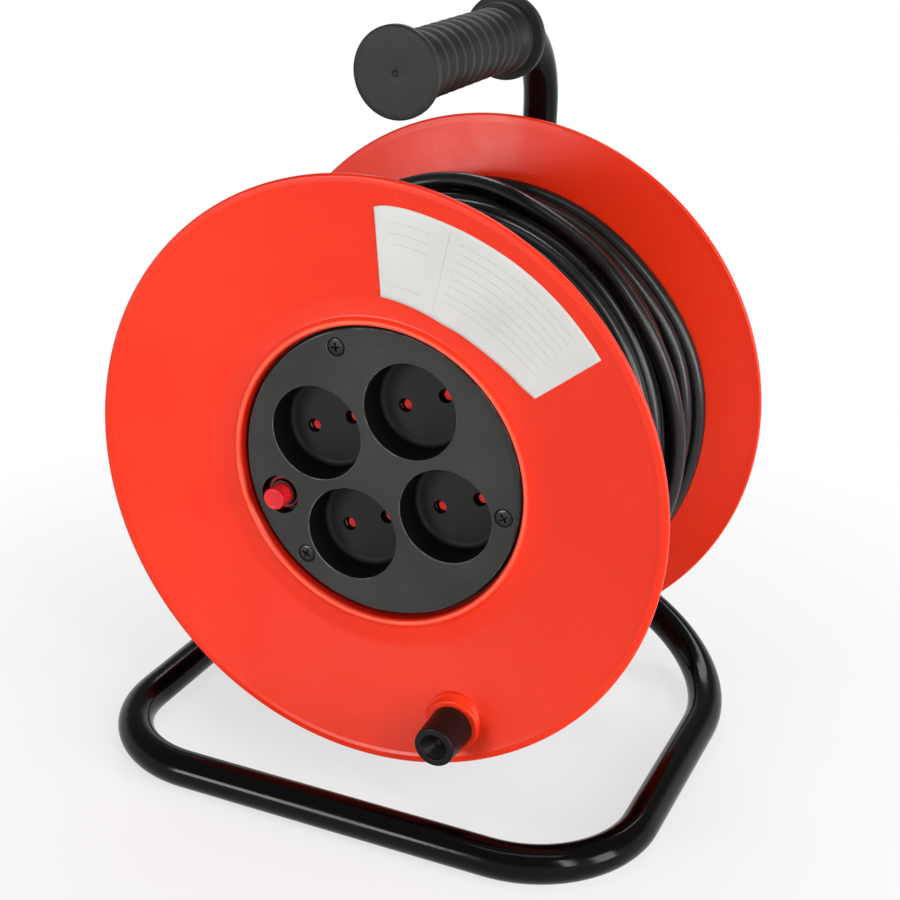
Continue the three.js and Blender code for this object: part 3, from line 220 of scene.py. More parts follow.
def inside(points, loop):
    """Which points lie inside a closed loop: a line to their side crosses it an odd number of times."""
    a, b = loop, np.roll(loop, -1, axis=0)
    x, z = points[:, :1], points[:, 1:]
    spans = (a[:, 1] > z) != (b[:, 1] > z)
    rise = np.where(b[:, 1] == a[:, 1], 1e-9, b[:, 1] - a[:, 1])
    cross = x < (b[:, 0] - a[:, 0]) * (z - a[:, 1]) / rise + a[:, 0]
    return (spans & cross).sum(1) % 2 == 1


def flat_face(y, outer, holes=()):
    """A flat face at one depth between an outer loop and hole loops of (x, z), triangulated."""
    loops = [outer, *holes]
    edges, base = [], 0
    for loop in loops:
        n = len(loop)
        edges += [(base + i, base + (i + 1) % n) for i in range(n)]
        base += n
    flat = np.concatenate(loops)
    found = delaunay_2d_cdt([Vector(p) for p in flat], edges, [], 1, 1e-5)
    points = np.array([tuple(p) for p in found[0]])
    faces = np.array([f for f in found[2] if len(f) == 3])
    middles = points[faces].mean(1)
    keep = np.ones(len(faces), bool)
    for hole in loops[1:]:
        keep &= ~inside(middles, hole)
    return np.stack([points[:, 0], np.full(len(points), y), points[:, 1]], -1), faces[keep]


def bar(low, high, bevel):
    """A block with its edges along X taken off: a section with cut corners carried along X."""
    (x0, y0, z0), (x1, y1, z1) = low, high
    corners = [(y0, z0, bevel), (y1, z0, bevel), (y1, z1, bevel), (y0, z1, bevel)]
    section = filleted(corners, step=0.6)
    inner = (section - section.mean(0)) * 0.96 + section.mean(0)
    ends = [(x0, inner), (x0 + bevel * 0.5, section), (x1 - bevel * 0.5, section), (x1, inner)]
    return capped([np.concatenate([np.full((len(s), 1), x), s], 1) for x, s in ends])


def smooth_object(name, mesh, material, body, replaced):
    """The object of a finished mesh: shaded smooth, with its finish, body and CAD nodes."""
    mesh.polygons.foreach_set("use_smooth", [True] * len(mesh.polygons))
    mesh.materials.append(material)
    made = added(name, mesh)
    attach(made, body)
    if replaced:
        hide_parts(*replaced)
    return made


def piece(name, shapes, material, slot, body="drum", replaces=(), sharp=35, uv=None, weld=True):
    """One object from several (points, faces) in the drum frame, welded, with creases kept sharp."""
    points, faces, base = [], [], 0
    for p, f in shapes:
        points.append(p)
        faces += [[base + int(v) for v in face] for face in f]
        base += len(p)
    mesh = bpy.data.meshes.new(name)
    mesh.from_pydata(in_reel(np.concatenate(points)).tolist(), [], faces)
    if uv is not None:
        layer = mesh.uv_layers.new(name="along")
        index = np.empty(len(mesh.loops), np.int32)
        mesh.loops.foreach_get("vertex_index", index)
        layer.data.foreach_set("uv", np.asarray(uv, np.float32)[index].ravel())
    if weld:
        bm = bmesh.new()
        bm.from_mesh(mesh)
        bmesh.ops.remove_doubles(bm, verts=bm.verts, dist=2e-6)
        bmesh.ops.dissolve_degenerate(bm, edges=bm.edges, dist=1e-7)
        bmesh.ops.recalc_face_normals(bm, faces=bm.faces)
        bm.to_mesh(mesh)
        bm.free()
    made = smooth_object(name, mesh, material, body, replaces)
    mesh.set_sharp_from_angle(angle=math.radians(sharp))
    return made


def even_normals(made):
    """Large flat faces keep straight shading beside narrow fillets."""
    change = made.modifiers.new("even_normals", "WEIGHTED_NORMAL")
    change.keep_sharp = True
    change.weight = 90


# ------------------------------ finishes
def linear(*colour):
    """Screen colour of 0 to 255 to the linear values that the shader takes."""
    c = np.array(colour) / 255
    return (*np.where(c <= 0.04045, c / 12.92, ((c + 0.055) / 1.055) ** 2.4), 1.0)


class Nodes:
    """The node tree of a material or the world, whose nodes are added and joined by short calls."""

    def __init__(self, owner):
        owner.use_nodes = True
        self.tree = owner.node_tree
        self.frame = self.node("ShaderNodeTexCoord").outputs

    def node(self, kind, settings=None, **inputs):
        made = self.tree.nodes.new(kind)
        for key, value in (settings or {}).items():
            setattr(made, key, value)
        for key, value in inputs.items():
            self.put(made.inputs[key], value)
        return made

    def put(self, socket, value):
        if isinstance(value, bpy.types.NodeSocket):
            self.tree.links.new(value, socket)
        else:
            socket.default_value = value

    def span(self, value, low, high, out_low, out_high):
        """A value from low to high becomes one from out_low to out_high, and stops there."""
        made = self.node("ShaderNodeMapRange", Value=value)
        for key, v in zip(("From Min", "From Max", "To Min", "To Max"), (low, high, out_low, out_high)):
            made.inputs[key].default_value = v
        return made.outputs["Result"]

    def band(self, value, start, full, fade, end):
        """0 up to start, 1 from full to fade, and 0 again past end."""
        return self.times(self.span(value, start, full, 0, 1), self.span(value, fade, end, 1, 0))

    def math(self, operation, *values):
        made = self.node("ShaderNodeMath", {"operation": operation})
        for socket, value in zip(made.inputs, values):
            self.put(socket, value)
        return made.outputs[0]

    def times(self, product, *factors):
        for factor in factors:
            product = self.math("MULTIPLY", product, factor)
        return product

    def between(self, value, low, high):
        """1 where a value lies between two others, 0 elsewhere."""
        return self.times(self.math("GREATER_THAN", value, low), self.math("LESS_THAN", value, high))

    def distance(self, value, middle):
        return self.math("ABSOLUTE", self.math("SUBTRACT", value, middle))

    def parts(self, vector):
        return self.node("ShaderNodeSeparateXYZ", Vector=vector).outputs

    def background_rays(self):
        """1 for the camera's rays and for those that metal or glass sends on, 0 for diffuse light."""
        path = self.node("ShaderNodeLightPath").outputs
        either = self.math("MAXIMUM", path["Is Camera Ray"], path["Is Glossy Ray"])
        return self.math("MAXIMUM", either, path["Is Transmission Ray"])


class Finish(Nodes):
    """A material with noises in the object's own frame and the shader's colour, bump and gloss."""

    def __init__(self, name):
        self.material = bpy.data.materials.new(name)
        super().__init__(self.material)
        self.place = self.frame["Object"]
        self.shader = self.tree.nodes["Principled BSDF"]

    def noise(self, scale, detail=3.0, rough=0.5, place=None):
        made = self.node("ShaderNodeTexNoise", Scale=scale, Detail=detail, Roughness=rough)
        self.put(made.inputs["Vector"], place or self.place)
        return made.outputs["Fac"]

    def blend(self, share, first, second):
        made = self.node("ShaderNodeMix", {"data_type": "RGBA"})
        for index, value in ((0, share), (6, first), (7, second)):
            self.put(made.inputs[index], value)
        return made.outputs[2]

    def cloudy(self, cloud, first, second, low=0.35, high=0.7):
        """A tone that drifts with a noise between two screen colours."""
        return self.blend(self.span(cloud, low, high, 0, 1), linear(*first), linear(*second))

    def depth_from(self, start):
        """Metres behind a depth that is given in the drum frame in millimetres."""
        return self.math("SUBTRACT", self.parts(self.place)[1], (DRUM_FRONT + start) / 1000)

    def satin(self, noise, smooth, rough):
        return self.span(noise, 0.3, 0.7, smooth, rough)

    def stretched(self, x, y, z, source=None):
        made = self.node("ShaderNodeMapping", Vector=source or self.place)
        made.inputs["Scale"].default_value = (x, y, z)
        return made.outputs["Vector"]

    def bump(self, *layers):
        """Layers of (height, distance in metres), each laid on the one before."""
        normal = None
        for height, distance in layers:
            made = self.node("ShaderNodeBump", Height=height, Distance=distance)
            if normal is not None:
                self.put(made.inputs["Normal"], normal)
            normal = made.outputs["Normal"]
        self.put(self.shader.inputs["Normal"], normal)

    def set(self, colour, rough, specular=0.5, metal=0.0):
        keys = ("Base Color", "Roughness", "Specular IOR Level", "Metallic")
        for key, value in zip(keys, (colour, rough, specular, metal)):
            self.put(self.shader.inputs[key], value)
        return self.material


def red_moulding():
    """Satin orange-red plastic: cloudy tone, faint flow marks, fine grain and a few pale scuffs. The
    bead round the socket insert has a painted highlight on its crest, and painted shade in the groove
    inside it."""
    f = Finish("red_moulding")
    fine = f.noise(60.0, 4.0)
    tone = f.cloudy(f.noise(9.0, 3.0), (230, 42, 7), (237, 49, 13), 0.35, 0.65)
    scratch = f.noise(1.0, 2.0, 0.4, f.stretched(700, 500, 14))
    worn = f.times(f.span(scratch, 0.72, 0.8, 0, 0.3), f.span(f.noise(14.0), 0.52, 0.68, 0, 1))
    tone = f.blend(worn, tone, linear(255, 120, 92))
    parts = f.parts(f.place)
    height = f.math("SUBTRACT", parts[2], AXLE_HEIGHT / 1000)
    squares = f.math("ADD", f.math("POWER", parts[0], 2.0), f.math("POWER", height, 2.0))
    radius = f.math("SQRT", squares)
    front = f.math("LESS_THAN", parts[1], (DRUM_FRONT + 16) / 1000)
    # both bands are radii in metres
    # painted highlight: the bead's crest is painted pale where it would catch the light
    crest = f.times(f.band(radius, 0.0636, 0.0642, 0.0652, 0.0659), front)
    tone = f.blend(f.times(crest, f.span(fine, 0.3, 0.7, 0.45, 0.75)), tone, linear(255, 112, 84))
    # painted shade: the groove and the wall inside the bead are painted deep red
    groove = f.times(f.band(radius, 0.0612, 0.0616, 0.0632, 0.0637), front)
    tone = f.blend(f.times(groove, 0.8), tone, linear(150, 12, 6))
    f.bump((fine, 0.00012), (f.noise(1500.0, 2.0), 0.000018))
    return f.set(tone, f.satin(fine, 0.28, 0.38), 0.28)


def plate_moulding():
    """Dark grey hard plastic with a spark-eroded grain, dust in it and rubbed patches, with painted shade
    down the walls of its cups and pin holes, and pale along their rims: partly wear, partly a painted
    highlight."""
    f = Finish("plate_moulding")
    cloud = f.noise(22.0, 4.0)
    tone = f.cloudy(cloud, (50, 51, 50), (60, 61, 60))
    dust = f.span(f.noise(420.0, 4.0, 0.7), 0.6, 0.74, 0, 0.4)
    tone = f.blend(f.times(dust, f.span(cloud, 0.45, 0.7, 0, 1)), tone, linear(112, 112, 108))
    depth = f.depth_from(PLATE_FACE)  # the bands below are metres behind the plate's face
    # painted shade: the walls of the cups and pin holes darken to near black behind the face
    tone = f.blend(f.span(depth, 0.0003, 0.0011, 0, 1), tone, linear(10, 10, 10))
    # painted shade: the cup floors are painted lighter than their walls but darker than the face
    floor = f.band(depth, 0.0134, 0.0151, 0.01502, 0.01515)
    tone = f.blend(floor, tone, f.cloudy(cloud, (38, 39, 38), (48, 49, 48)))
    # pale rims: partly wear, partly a painted highlight where the rims catch the light
    edge = f.band(depth, 0.00002, 0.0001, 0.00025, 0.00055)
    rubbed = f.times(edge, f.span(f.noise(90.0, 4.0, 0.7), 0.42, 0.62, 0.1, 0.75))
    tone = f.blend(rubbed, tone, linear(138, 139, 135))
    f.bump((f.noise(2600.0, 2.0, 0.6), 0.00003), (f.noise(300.0, 3.0), 0.00002))
    return f.set(tone, f.satin(cloud, 0.44, 0.58), 0.12)


def cast_button(name, first, second):
    """Signal red plastic, semi-gloss, slightly cloudy."""
    f = Finish(name)
    cloud = f.noise(180.0, 3.0)
    f.bump((f.noise(1800.0, 2.0), 0.00002))
    return f.set(f.cloudy(cloud, first, second, 0.3), f.satin(cloud, 0.3, 0.44), 0.35)


def shutter_plastic():
    """Red plastic of a shutter, with painted shade down the slope where a pin comes in."""
    f = Finish("shutter_plastic")
    down = f.depth_from(SHUTTER_FACE)
    tone = f.cloudy(f.noise(300.0, 3.0), (222, 44, 46), (238, 64, 60), 0.3)
    # painted shade: the red darkens to near black down the slope into each well
    tone = f.blend(f.span(down, 0.00042, 0.00075, 0, 1), tone, linear(12, 6, 6))
    f.bump((f.noise(1800.0, 2.0), 0.00002))
    return f.set(tone, 0.6, 0.06)


def grip_rubber(name, dark, light):
    """Dull black rubber: fine pores, rubbed greyer in places, with scattered lint."""
    f = Finish(name)
    cloud = f.noise(34.0, 5.0, 0.6)
    lint = f.span(f.noise(900.0, 2.0, 0.7), 0.7, 0.78, 0, 0.3)
    tone = f.blend(lint, f.cloudy(cloud, dark, light), linear(104, 103, 98))
    f.bump((f.noise(1300.0, 3.0, 0.65), 0.00005), (f.noise(120.0, 3.0), 0.0001))
    return f.set(tone, f.satin(cloud, 0.38, 0.5), 0.15)


def cable_sheath(name, drawn_along):
    """Black flexible sheath: satin, with faint drawn lines along it and a little dust."""
    f = Finish(name)
    along = f.node("ShaderNodeUVMap", {"uv_map": "along"}).outputs["UV"] if drawn_along else f.place
    drawn = f.noise(1.0, 2.0, 0.5, f.stretched(6, 90, 1, along))
    cloud = f.noise(70.0, 4.0, 0.6)
    dust = f.span(f.noise(1100.0, 2.0, 0.7), 0.7, 0.8, 0, 0.15)
    tone = f.blend(dust, f.cloudy(cloud, (14, 14, 15), (22, 23, 23)), linear(92, 92, 88))
    f.bump((drawn, 0.00001), (f.noise(500.0, 3.0), 0.000004))
    return f.set(tone, f.satin(cloud, 0.26, 0.31), 0.36)


def stove_enamel():
    """Gloss black enamel on tube: orange-peel ripple and a little dust."""
    f = Finish("stove_enamel")
    dust = f.span(f.noise(800.0, 3.0, 0.7), 0.68, 0.78, 0, 0.25)
    tone = f.blend(dust, linear(6, 6, 7), linear(72, 70, 68))
    f.bump((f.noise(150.0, 2.0), 0.00006), (f.noise(22.0, 2.0), 0.0001))
    return f.set(tone, f.span(f.noise(30.0, 3.0), 0.35, 0.7, 0.1, 0.18), 0.13)


def bright_zinc(name, tone, shade):
    """Plated steel: cloudy bright finish with fine turning marks."""
    f = Finish(name)
    cloud = f.noise(130.0, 4.0, 0.6)
    f.bump((f.noise(1.0, 2.0, 0.5, f.stretched(60, 2600, 60)), 0.00002))
    return f.set(f.cloudy(cloud, tone, shade), f.satin(cloud, 0.3, 0.44), metal=1.0)


def contact_brass():
    """Stamped brass strip, dull and slightly spotted."""
    f = Finish("contact_brass")
    cloud = f.noise(160.0, 4.0, 0.6)
    f.bump((f.noise(700.0, 2.0), 0.00002))
    tone = f.cloudy(cloud, (198, 164, 82), (160, 124, 60))
    return f.set(tone, f.satin(cloud, 0.28, 0.42), metal=1.0)


def plain_moulding(name, first, second, rough):
    """Inner plastic: two close tones, a fine grain."""
    f = Finish(name)
    cloud = f.noise(60.0, 4.0)
    f.bump((f.noise(1600.0, 2.0), 0.00003))
    return f.set(f.cloudy(cloud, first, second), f.satin(cloud, rough - 0.06, rough + 0.08))


def label_paper():
    """White film sticker with faint grey ruled lines, short rows at its left end and a divider.
    Across the sticker u goes from its left end to its right one, and v from its inner edge out."""
    f = Finish("label_paper")
    u, v, _ = f.parts(f.node("ShaderNodeUVMap", {"uv_map": "along"}).outputs["UV"])

    def rows(count, thick):
        return f.math("COMPARE", f.math("FRACT", f.times(v, count)), 0.5, thick)

    down = f.between(v, 0.14, 0.9)
    ruled = f.times(rows(11.0, 0.045), f.between(u, 0.35, 0.9), down)
    off_middle = f.math("GREATER_THAN", f.distance(v, 0.42), 0.17)
    first = f.times(rows(9.0, 0.035), f.times(f.between(u, 0.06, 0.23), off_middle), down)
    within = f.math("LESS_THAN", f.distance(v, 0.5), 0.45)
    divider = f.times(f.math("COMPARE", u, 0.305, 0.0018), within)
    marks = f.math("MAXIMUM", f.math("MAXIMUM", ruled, first), divider)
    cloud = f.noise(40.0, 4.0)
    tone = f.cloudy(cloud, (206, 207, 203), (214, 214, 211))
    worn = f.times(marks, f.span(f.noise(500.0, 2.0), 0.35, 0.6, 0.25, 0.6))
    tone = f.blend(worn, tone, linear(158, 160, 162))
    f.bump((f.noise(260.0, 3.0), 0.00003), (f.noise(1900.0, 2.0), 0.00001))
    return f.set(tone, f.satin(cloud, 0.4, 0.52), 0.4)


RED = red_moulding()
PLATE = plate_moulding()
SIGNAL = cast_button("cast_button", (206, 22, 32), (226, 34, 42))
# painted shade: the collar is a darker copy of the button's red, standing in for the shade inside the
# button hole
SHADED_COLLAR_RED = cast_button("collar_plastic_painted_shade", (112, 14, 24), (132, 22, 32))
SHUTTER = shutter_plastic()
RUBBER = grip_rubber("grip_rubber", (30, 31, 30), (44, 44, 43))
KNOB_RUBBER = grip_rubber("knob_rubber", (19, 16, 15), (31, 27, 25))
SHEATH = cable_sheath("cable_sheath", True)
SHEATH_INSIDE = cable_sheath("lead_sheath", False)
ENAMEL = stove_enamel()
ZINC = bright_zinc("bright_zinc", (176, 178, 180), (146, 149, 152))
BLACK_STEEL = bright_zinc("black_steel", (58, 58, 57), (34, 34, 34))
BRASS = contact_brass()
LABEL = label_paper()
WHITE_MOULDING = plain_moulding("white_moulding", (226, 223, 214), (214, 210, 200), 0.5)
DARK_MOULDING = plain_moulding("dark_moulding", (28, 28, 28), (36, 36, 35), 0.56)
PLUG_MOULDING = plain_moulding("plug_moulding", (26, 27, 27), (36, 37, 36), 0.5)
BROWN_WIRE = plain_moulding("brown_wire", (104, 62, 38), (118, 72, 46), 0.4)
BLUE_WIRE = plain_moulding("blue_wire", (38, 92, 166), (50, 106, 182), 0.4)

# ------------------------------ cable on the drum
CABLE_RADIUS = CABLE / 2
INNER_LAYERS, INNER_TURNS = (71.9, 79.1, 86.4), 11.65  # their middles, and the turns of each
RUN_IN, INLET_DEPTH = 0.5, 58.0  # turns from the inlet to the first layer, and where they start
LAYER = 93.6  # middle of the outer layer
TOP = 101.2  # middle of the strand that crosses over it
LAYER_TURNS, TOP_TURNS = 10.25, 1.6
PERCH_RISE, PERCH_DIP = 6.0, 3.7  # of the strand on the layer against the rear flange
TUCK, TUCK_RISE = 3.0, 2.0  # of the turn before it, pushed against that strand at the right
LAY_SWAY, SWAY_ANGLE = 5.0, math.radians(110)
OUTSIDE = 94.16  # radius at which the layer meets the flange and the plug's line is set
PLUG_BEARING = math.radians(273)
PLUG_STATION = 36.0
PLUG_LINE = OUTSIDE + CABLE_RADIUS + 11.5  # of the plug's middle line from the axle
RELIEF_START = -32.0
STRAIGHT = RELIEF_START - 0.3 - CABLE
LIFT_ANGLE = math.atan2(STRAIGHT, PLUG_LINE)
LIFT_RADIUS = math.hypot(PLUG_LINE, STRAIGHT)
LIFT_SHARE = 6  # the strand lifts to the plug's line over a sixth of a turn
WINDING_START = PLUG_BEARING + LIFT_ANGLE - (LAYER_TURNS + TOP_TURNS) * TAU


def dish_back(r):
    """Depth of the flange's back at a radius: flat to the crease, then sloping to the rim."""
    return DISH_BACK - 9.5 / 46.5 * np.maximum(np.subtract(r, CREASE), 0)


def eased(s):
    s = np.clip(s, 0, 1)
    return s * s * (3 - 2 * s)


def outer_strand(turns):
    """Radius, depth and angle of the outer layer: it fills from front to back with a sway, perches
    on itself against the rear flange, wanders over the layer and crosses to the plug."""
    angle = WINDING_START + turns * TAU
    over = turns - LAYER_TURNS

    def passed(start, end):
        """0 before a count of turns past the layer's end, 1 after another."""
        return eased((over - start) / (end - start))

    first = dish_back(OUTSIDE) + CABLE_RADIUS + 1.2
    last = DRUM_WIDTH - first
    spread = np.clip(turns / (LAYER_TURNS - 0.2), 0, 1)
    sway = LAY_SWAY * np.cos(angle - SWAY_ANGLE) * np.sin(np.pi * spread)
    wander = 0.03 * passed(1.0, 1.07) + 0.245 * passed(1.06, 1.22)
    wander = wander - 0.3 * passed(0.22, 0.85) - 0.057 * passed(0.85, 1.0)
    tucked = passed(-1.28, -1.16) * (1 - passed(-1.06, -0.97))
    station = first + (last - first) * (spread + wander) + sway + TUCK * tucked
    station = station + (PLUG_STATION - station) * passed(1.12, 1.52)
    perched = PERCH_RISE * passed(-0.62, -0.35)
    radius = LAYER + TUCK_RISE * tucked + perched - PERCH_DIP * passed(-0.075, 0.03)
    radius = radius + (TOP - LAYER - PERCH_RISE + PERCH_DIP) * passed(0.16, 0.4)
    s = np.clip(1 - (TOP_TURNS - over) * LIFT_SHARE, 0, 1)
    slope = LIFT_RADIUS * math.tan(LIFT_ANGLE) * TAU / LIFT_SHARE
    lifted = TOP * (2 * s**3 - 3 * s**2 + 1) + LIFT_RADIUS * (3 * s**2 - 2 * s**3)
    radius = np.where(s > 0, lifted + slope * (s**3 - s**2), radius)
    return radius, station, angle


def inner_strands(per_turn):
    """Three layers under the outer one, from the inlet: rear to front, to the rear, to the front."""
    ends = [dish_back(r) + CABLE_RADIUS + 0.7 for r in INNER_LAYERS]
    total = RUN_IN + 3 * INNER_TURNS
    turns = np.arange(int(total * per_turn)) / per_turn
    layer = np.clip(((turns - RUN_IN) / INNER_TURNS).astype(int), 0, 2)
    share = np.clip((turns - RUN_IN) / INNER_TURNS - layer, 0, 1)
    front = np.take(ends, layer)
    gone = (DRUM_WIDTH - 2 * front) * share
    station = np.where(layer == 1, front + gone, DRUM_WIDTH - front - gone)
    run = turns < RUN_IN
    rear = DRUM_WIDTH - ends[0] - INLET_DEPTH
    station = np.where(run, INLET_DEPTH + rear * eased(turns / RUN_IN), station)
    radius = np.take(INNER_LAYERS, layer)
    climb = 0.22 / INNER_TURNS
    following = np.take([*INNER_LAYERS[1:], LAYER], layer)
    climbed = radius + (following - radius) * eased((share - 1 + climb) / climb)
    radius = np.where(run, INNER_LAYERS[0], climbed)
    return radius, station, WINDING_START - (total - turns) * TAU


def plug_point(along, side=0.0, out=0.0):
    """A point of the plug's own line, which touches the winding's circle at the plug's bearing."""
    c, s = math.cos(PLUG_BEARING), math.sin(PLUG_BEARING)
    along, side, out = np.broadcast_arrays(*(np.asarray(v, float) for v in (along, side, out)))
    reach = PLUG_LINE + out
    return np.stack([c * reach - s * along, PLUG_STATION + side, s * reach + c * along], -1)


def cable_route():
    """The cable's middle line from the inlet through all its turns to the plug's strain relief."""
    turns = LAYER_TURNS + TOP_TURNS
    count = int(turns * 96)
    outer = outer_strand(np.arange(count + 1) * turns / count)
    points = about_axle(*(np.concatenate(pair) for pair in zip(inner_strands(36), outer)))
    ending = plug_point(np.array([STRAIGHT / 2 + RELIEF_START / 2, RELIEF_START + 2.0]))
    return np.concatenate([points, ending])


route = cable_route()


def cable_piece():
    """The sheath carried along the route, its skin breathing a little with the twist of its cores."""
    step = np.linalg.norm(np.diff(route, axis=0), axis=1)
    length = np.concatenate([[0], np.cumsum(step)])
    sides = 16
    skin = CABLE_RADIUS * (1 + 0.012 * np.sin(length * TAU / 55))
    u = np.repeat(length / 1000, sides)
    v = np.tile(np.abs(np.linspace(-1, 1, sides, endpoint=False)), len(route))
    uv = np.concatenate([np.stack([u, v], -1), [[0, 0], [length[-1] / 1000, 0]]])
    shape = capped(swept(route, skin, sides, (1, 0, 0)))
    replaced = ("cable_winding", "cable_core")
    return piece("cable", [shape], SHEATH, "black_cable", replaces=replaced, uv=uv, weld=False)


# ------------------------------ plug
def plug_oval(along, width, thickness, power):
    """A rounded rectangle across the plug's line: |cos|^(2/power), |sin|^(2/power)."""
    a = (np.arange(48) + 0.5) * TAU / 48
    c, s = np.cos(a), np.sin(a)
    side = width / 2 * np.sign(c) * np.abs(c) ** (2 / power)
    out = thickness / 2 * np.sign(s) * np.abs(s) ** (2 / power)
    return plug_point(along, side, out)


def plug_piece():
    """The moulded plug: ringed strain relief, swelling shoulders, a finger waist and a flat face."""
    edge, shoulder = 27.0, -10  # where the face's rounding and the body start
    rings = [plug_oval(RELIEF_START, size, size, 2) for size in (CABLE + 0.2, 8.6)]
    for i in range(4):
        at = RELIEF_START + 1.0 + i * 5.2
        wide = 9.2 + 0.85 * i
        for shift, more in ((0.0, 0.0), (2.2, 0.0), (2.6, -1.5), (4.4, -1.3), (4.8, 0.5)):
            rings.append(plug_oval(at + shift, wide + more, wide + more, 2))
    for k in np.linspace(0, 1, 22):
        width = 12.6 + (35.4 - 12.6) * eased(np.array(k * 1.05)) ** 0.85
        waist = 0.7 * math.exp(-(((k - 0.55) / 0.12) ** 2))
        thickness = 12.2 + (21.8 - 12.2) * eased(np.array(k * 1.1)) ** 0.9 - 2 * waist
        at = shoulder + k * (edge - shoulder)
        rings.append(plug_oval(at, float(width) - waist, float(thickness), 2 + 1.6 * k))
    for depth, less in ((0.35, 0.5), (0.8, 1.1), (1.0, 2.0), (1.0, 6.0)):
        rings.append(plug_oval(edge + depth, 35.6 - less, 22 - less, 3.6))
    return piece("plug", [capped(rings)], PLUG_MOULDING, "black_plastic", replaces=("plug_body",))


def plug_pin(number, side):
    """A round pin with a sleeve moulded at its root and a rounded tip."""
    a = np.arange(32) * TAU / 32
    root = 28.3
    outline = [(0, 2.4), (10.0, 2.4), (10.05, 2.34), (17.2, 2.34), (18.1, 2.0), (18.55, 1.4), (18.7, 0.6)]
    rings = [plug_point(root + at, side + r * np.cos(a), r * np.sin(a)) for at, r in outline]
    replaced = (f"plug_pin_{number}",)
    return piece(f"pin_{number}", [capped(rings)], ZINC, "bright_steel", replaces=replaced)


cable = cable_piece()
plug = plug_piece()
pins = [plug_pin(1, -PIN_APART), plug_pin(2, PIN_APART)]

# ------------------------------ drum halves
FLANGE_SIDES = 288
JOINT_LAP, HUB_WALL = 65.5, 62.4  # radii inside the barrel's wall and of the hub's flat wall
FLANGE = [  # the dish and rim, from the barrel out along the back and in along the front
    (BARREL, DISH_BACK, 2.0), (CREASE, DISH_BACK, 14.0), (121.5, 3.2, 3.0), (RIM, 2.6, 1.1),
    (RIM, 0.0, 1.2), (121.9, 0.0, 0.7), (120.6, 0.65, 1.2), (CREASE, DISH_FRONT, 16.0),
]
KNOB = polar(108.4, INSERT_TURN - math.pi / 2)


def front_half():
    """The front half: dish, bead and groove round the insert, its seat, the barrel's wall and the
    raised ring under the crank knob, flared where it meets the dish."""
    shell = FLANGE + [
        (67.2, 10.1, 2.4), (65.2, 8.9, 0.9), (64.0, 8.9, 0.8), (63.2, 10.3, 0.7), (63.2, 15.5, 0.3),
        (59.5, 15.5, 0.3), (59.5, 18.5, 1.0), (JOINT_LAP, 21.5, 1.0), (JOINT_LAP, 68.85, 0.2),
        (BARREL, 68.85, 0.2),
    ]
    boss = [
        (3.3, 0.95, 0.1), (11.2, 0.95, 1.1), (12.1, 3.1, 2.6), (14.4, 5.0, 1.0), (11.0, 6.8, 0.3),
        (3.3, 6.8, 0.1),
    ]
    shapes = [lathe(shell, FLANGE_SIDES, 0.12, True), lathe(boss, 64, 0.12, True, KNOB)]
    piece("drum_front_half", shapes, RED, "red_shell", replaces=("front_flange",))


def rear_half():
    """The rear half: dish, ribbed hub, three screw wells and the tapered boss round the bush."""
    back, front, joint = 124.0, 121.0, 69.15
    boss_radius, well_back, well_front = 24.0, 4.9, 5.6
    shell = [(BARREL, joint, 0.2)]
    shell += [(r, DRUM_WIDTH - y, fillet) for r, y, fillet in FLANGE]
    shell += [(65.3, 128.0, 0.8), (63.6, back, 0.6), (HUB_WALL, back)]
    lining = [(HUB_WALL, front), (JOINT_LAP, front, 0.5), (JOINT_LAP, joint, 0.2), (BARREL, joint, 0.2)]
    boss = [
        (boss_radius, back), (23.4, 126.0, 1.0), (15.5, 164.0, 0.8), (8.55, 164.0, 0.3),
        (8.55, 104.0, 0.2), (11.15, 104.0, 0.2), (11.15, 118.0, 0.5), (boss_radius, front),
    ]
    well = [
        (well_back, back), (4.3, back + 0.05, 0.3), (4.2, 72.2, 0.3), (1.8, 72.2), (1.8, 69.2),
        (well_front, 69.2), (well_front, front),
    ]
    wells = [polar(57.0, math.radians(30 + 120 * k) + INSERT_TURN) for k in range(3)]
    shapes = [lathe(shell, FLANGE_SIDES, 0.12), lathe(lining, FLANGE_SIDES, 0.3), lathe(boss, 96)]
    shapes += [lathe(well, 48, 0.3, at=at) for at in wells]
    for depth, radius in ((back, well_back), (front, well_front)):
        holes = [circle(0, 0, boss_radius, 96)] + [circle(*at, radius, 48) for at in wells]
        shapes.append(flat_face(depth, circle(0, 0, HUB_WALL, FLANGE_SIDES), holes))
    rib = bar((21.5, 122.5, -1.1), (64.6, 127.4, 1.1), 0.5)
    shapes += [carried_round(rib, INSERT_TURN + k * TAU / 6) for k in range(6)]
    even_normals(piece("drum_rear_half", shapes, RED, "red_shell", replaces=("rear_flange",)))


front_half()
rear_half()

# ------------------------------ socket insert
SOCKETS = [(-22.5, 22.5), (22.5, 22.5), (-22.5, -22.5), (22.5, -22.5)]
PLATE_SCREWS = [polar(55.0, math.radians(90 + 120 * k)) for k in range(3)]


def turned_in(shapes):
    """Insert shapes turned to the angle at which the drum stands."""
    return [carried_round(shape, INSERT_TURN) for shape in shapes]


def plate_face(depth, edge, cup, button, seat):
    """The plate's front or back, with a hole of (radius, sides) for each thing that passes it."""
    holes = [circle(x, z, *cup) for x, z in SOCKETS] + [circle(BUTTON_X, 0, *button)]
    holes += [circle(x, z, *seat) for x, z in PLATE_SCREWS]
    return flat_face(depth, circle(0, 0, edge, FLANGE_SIDES), holes)


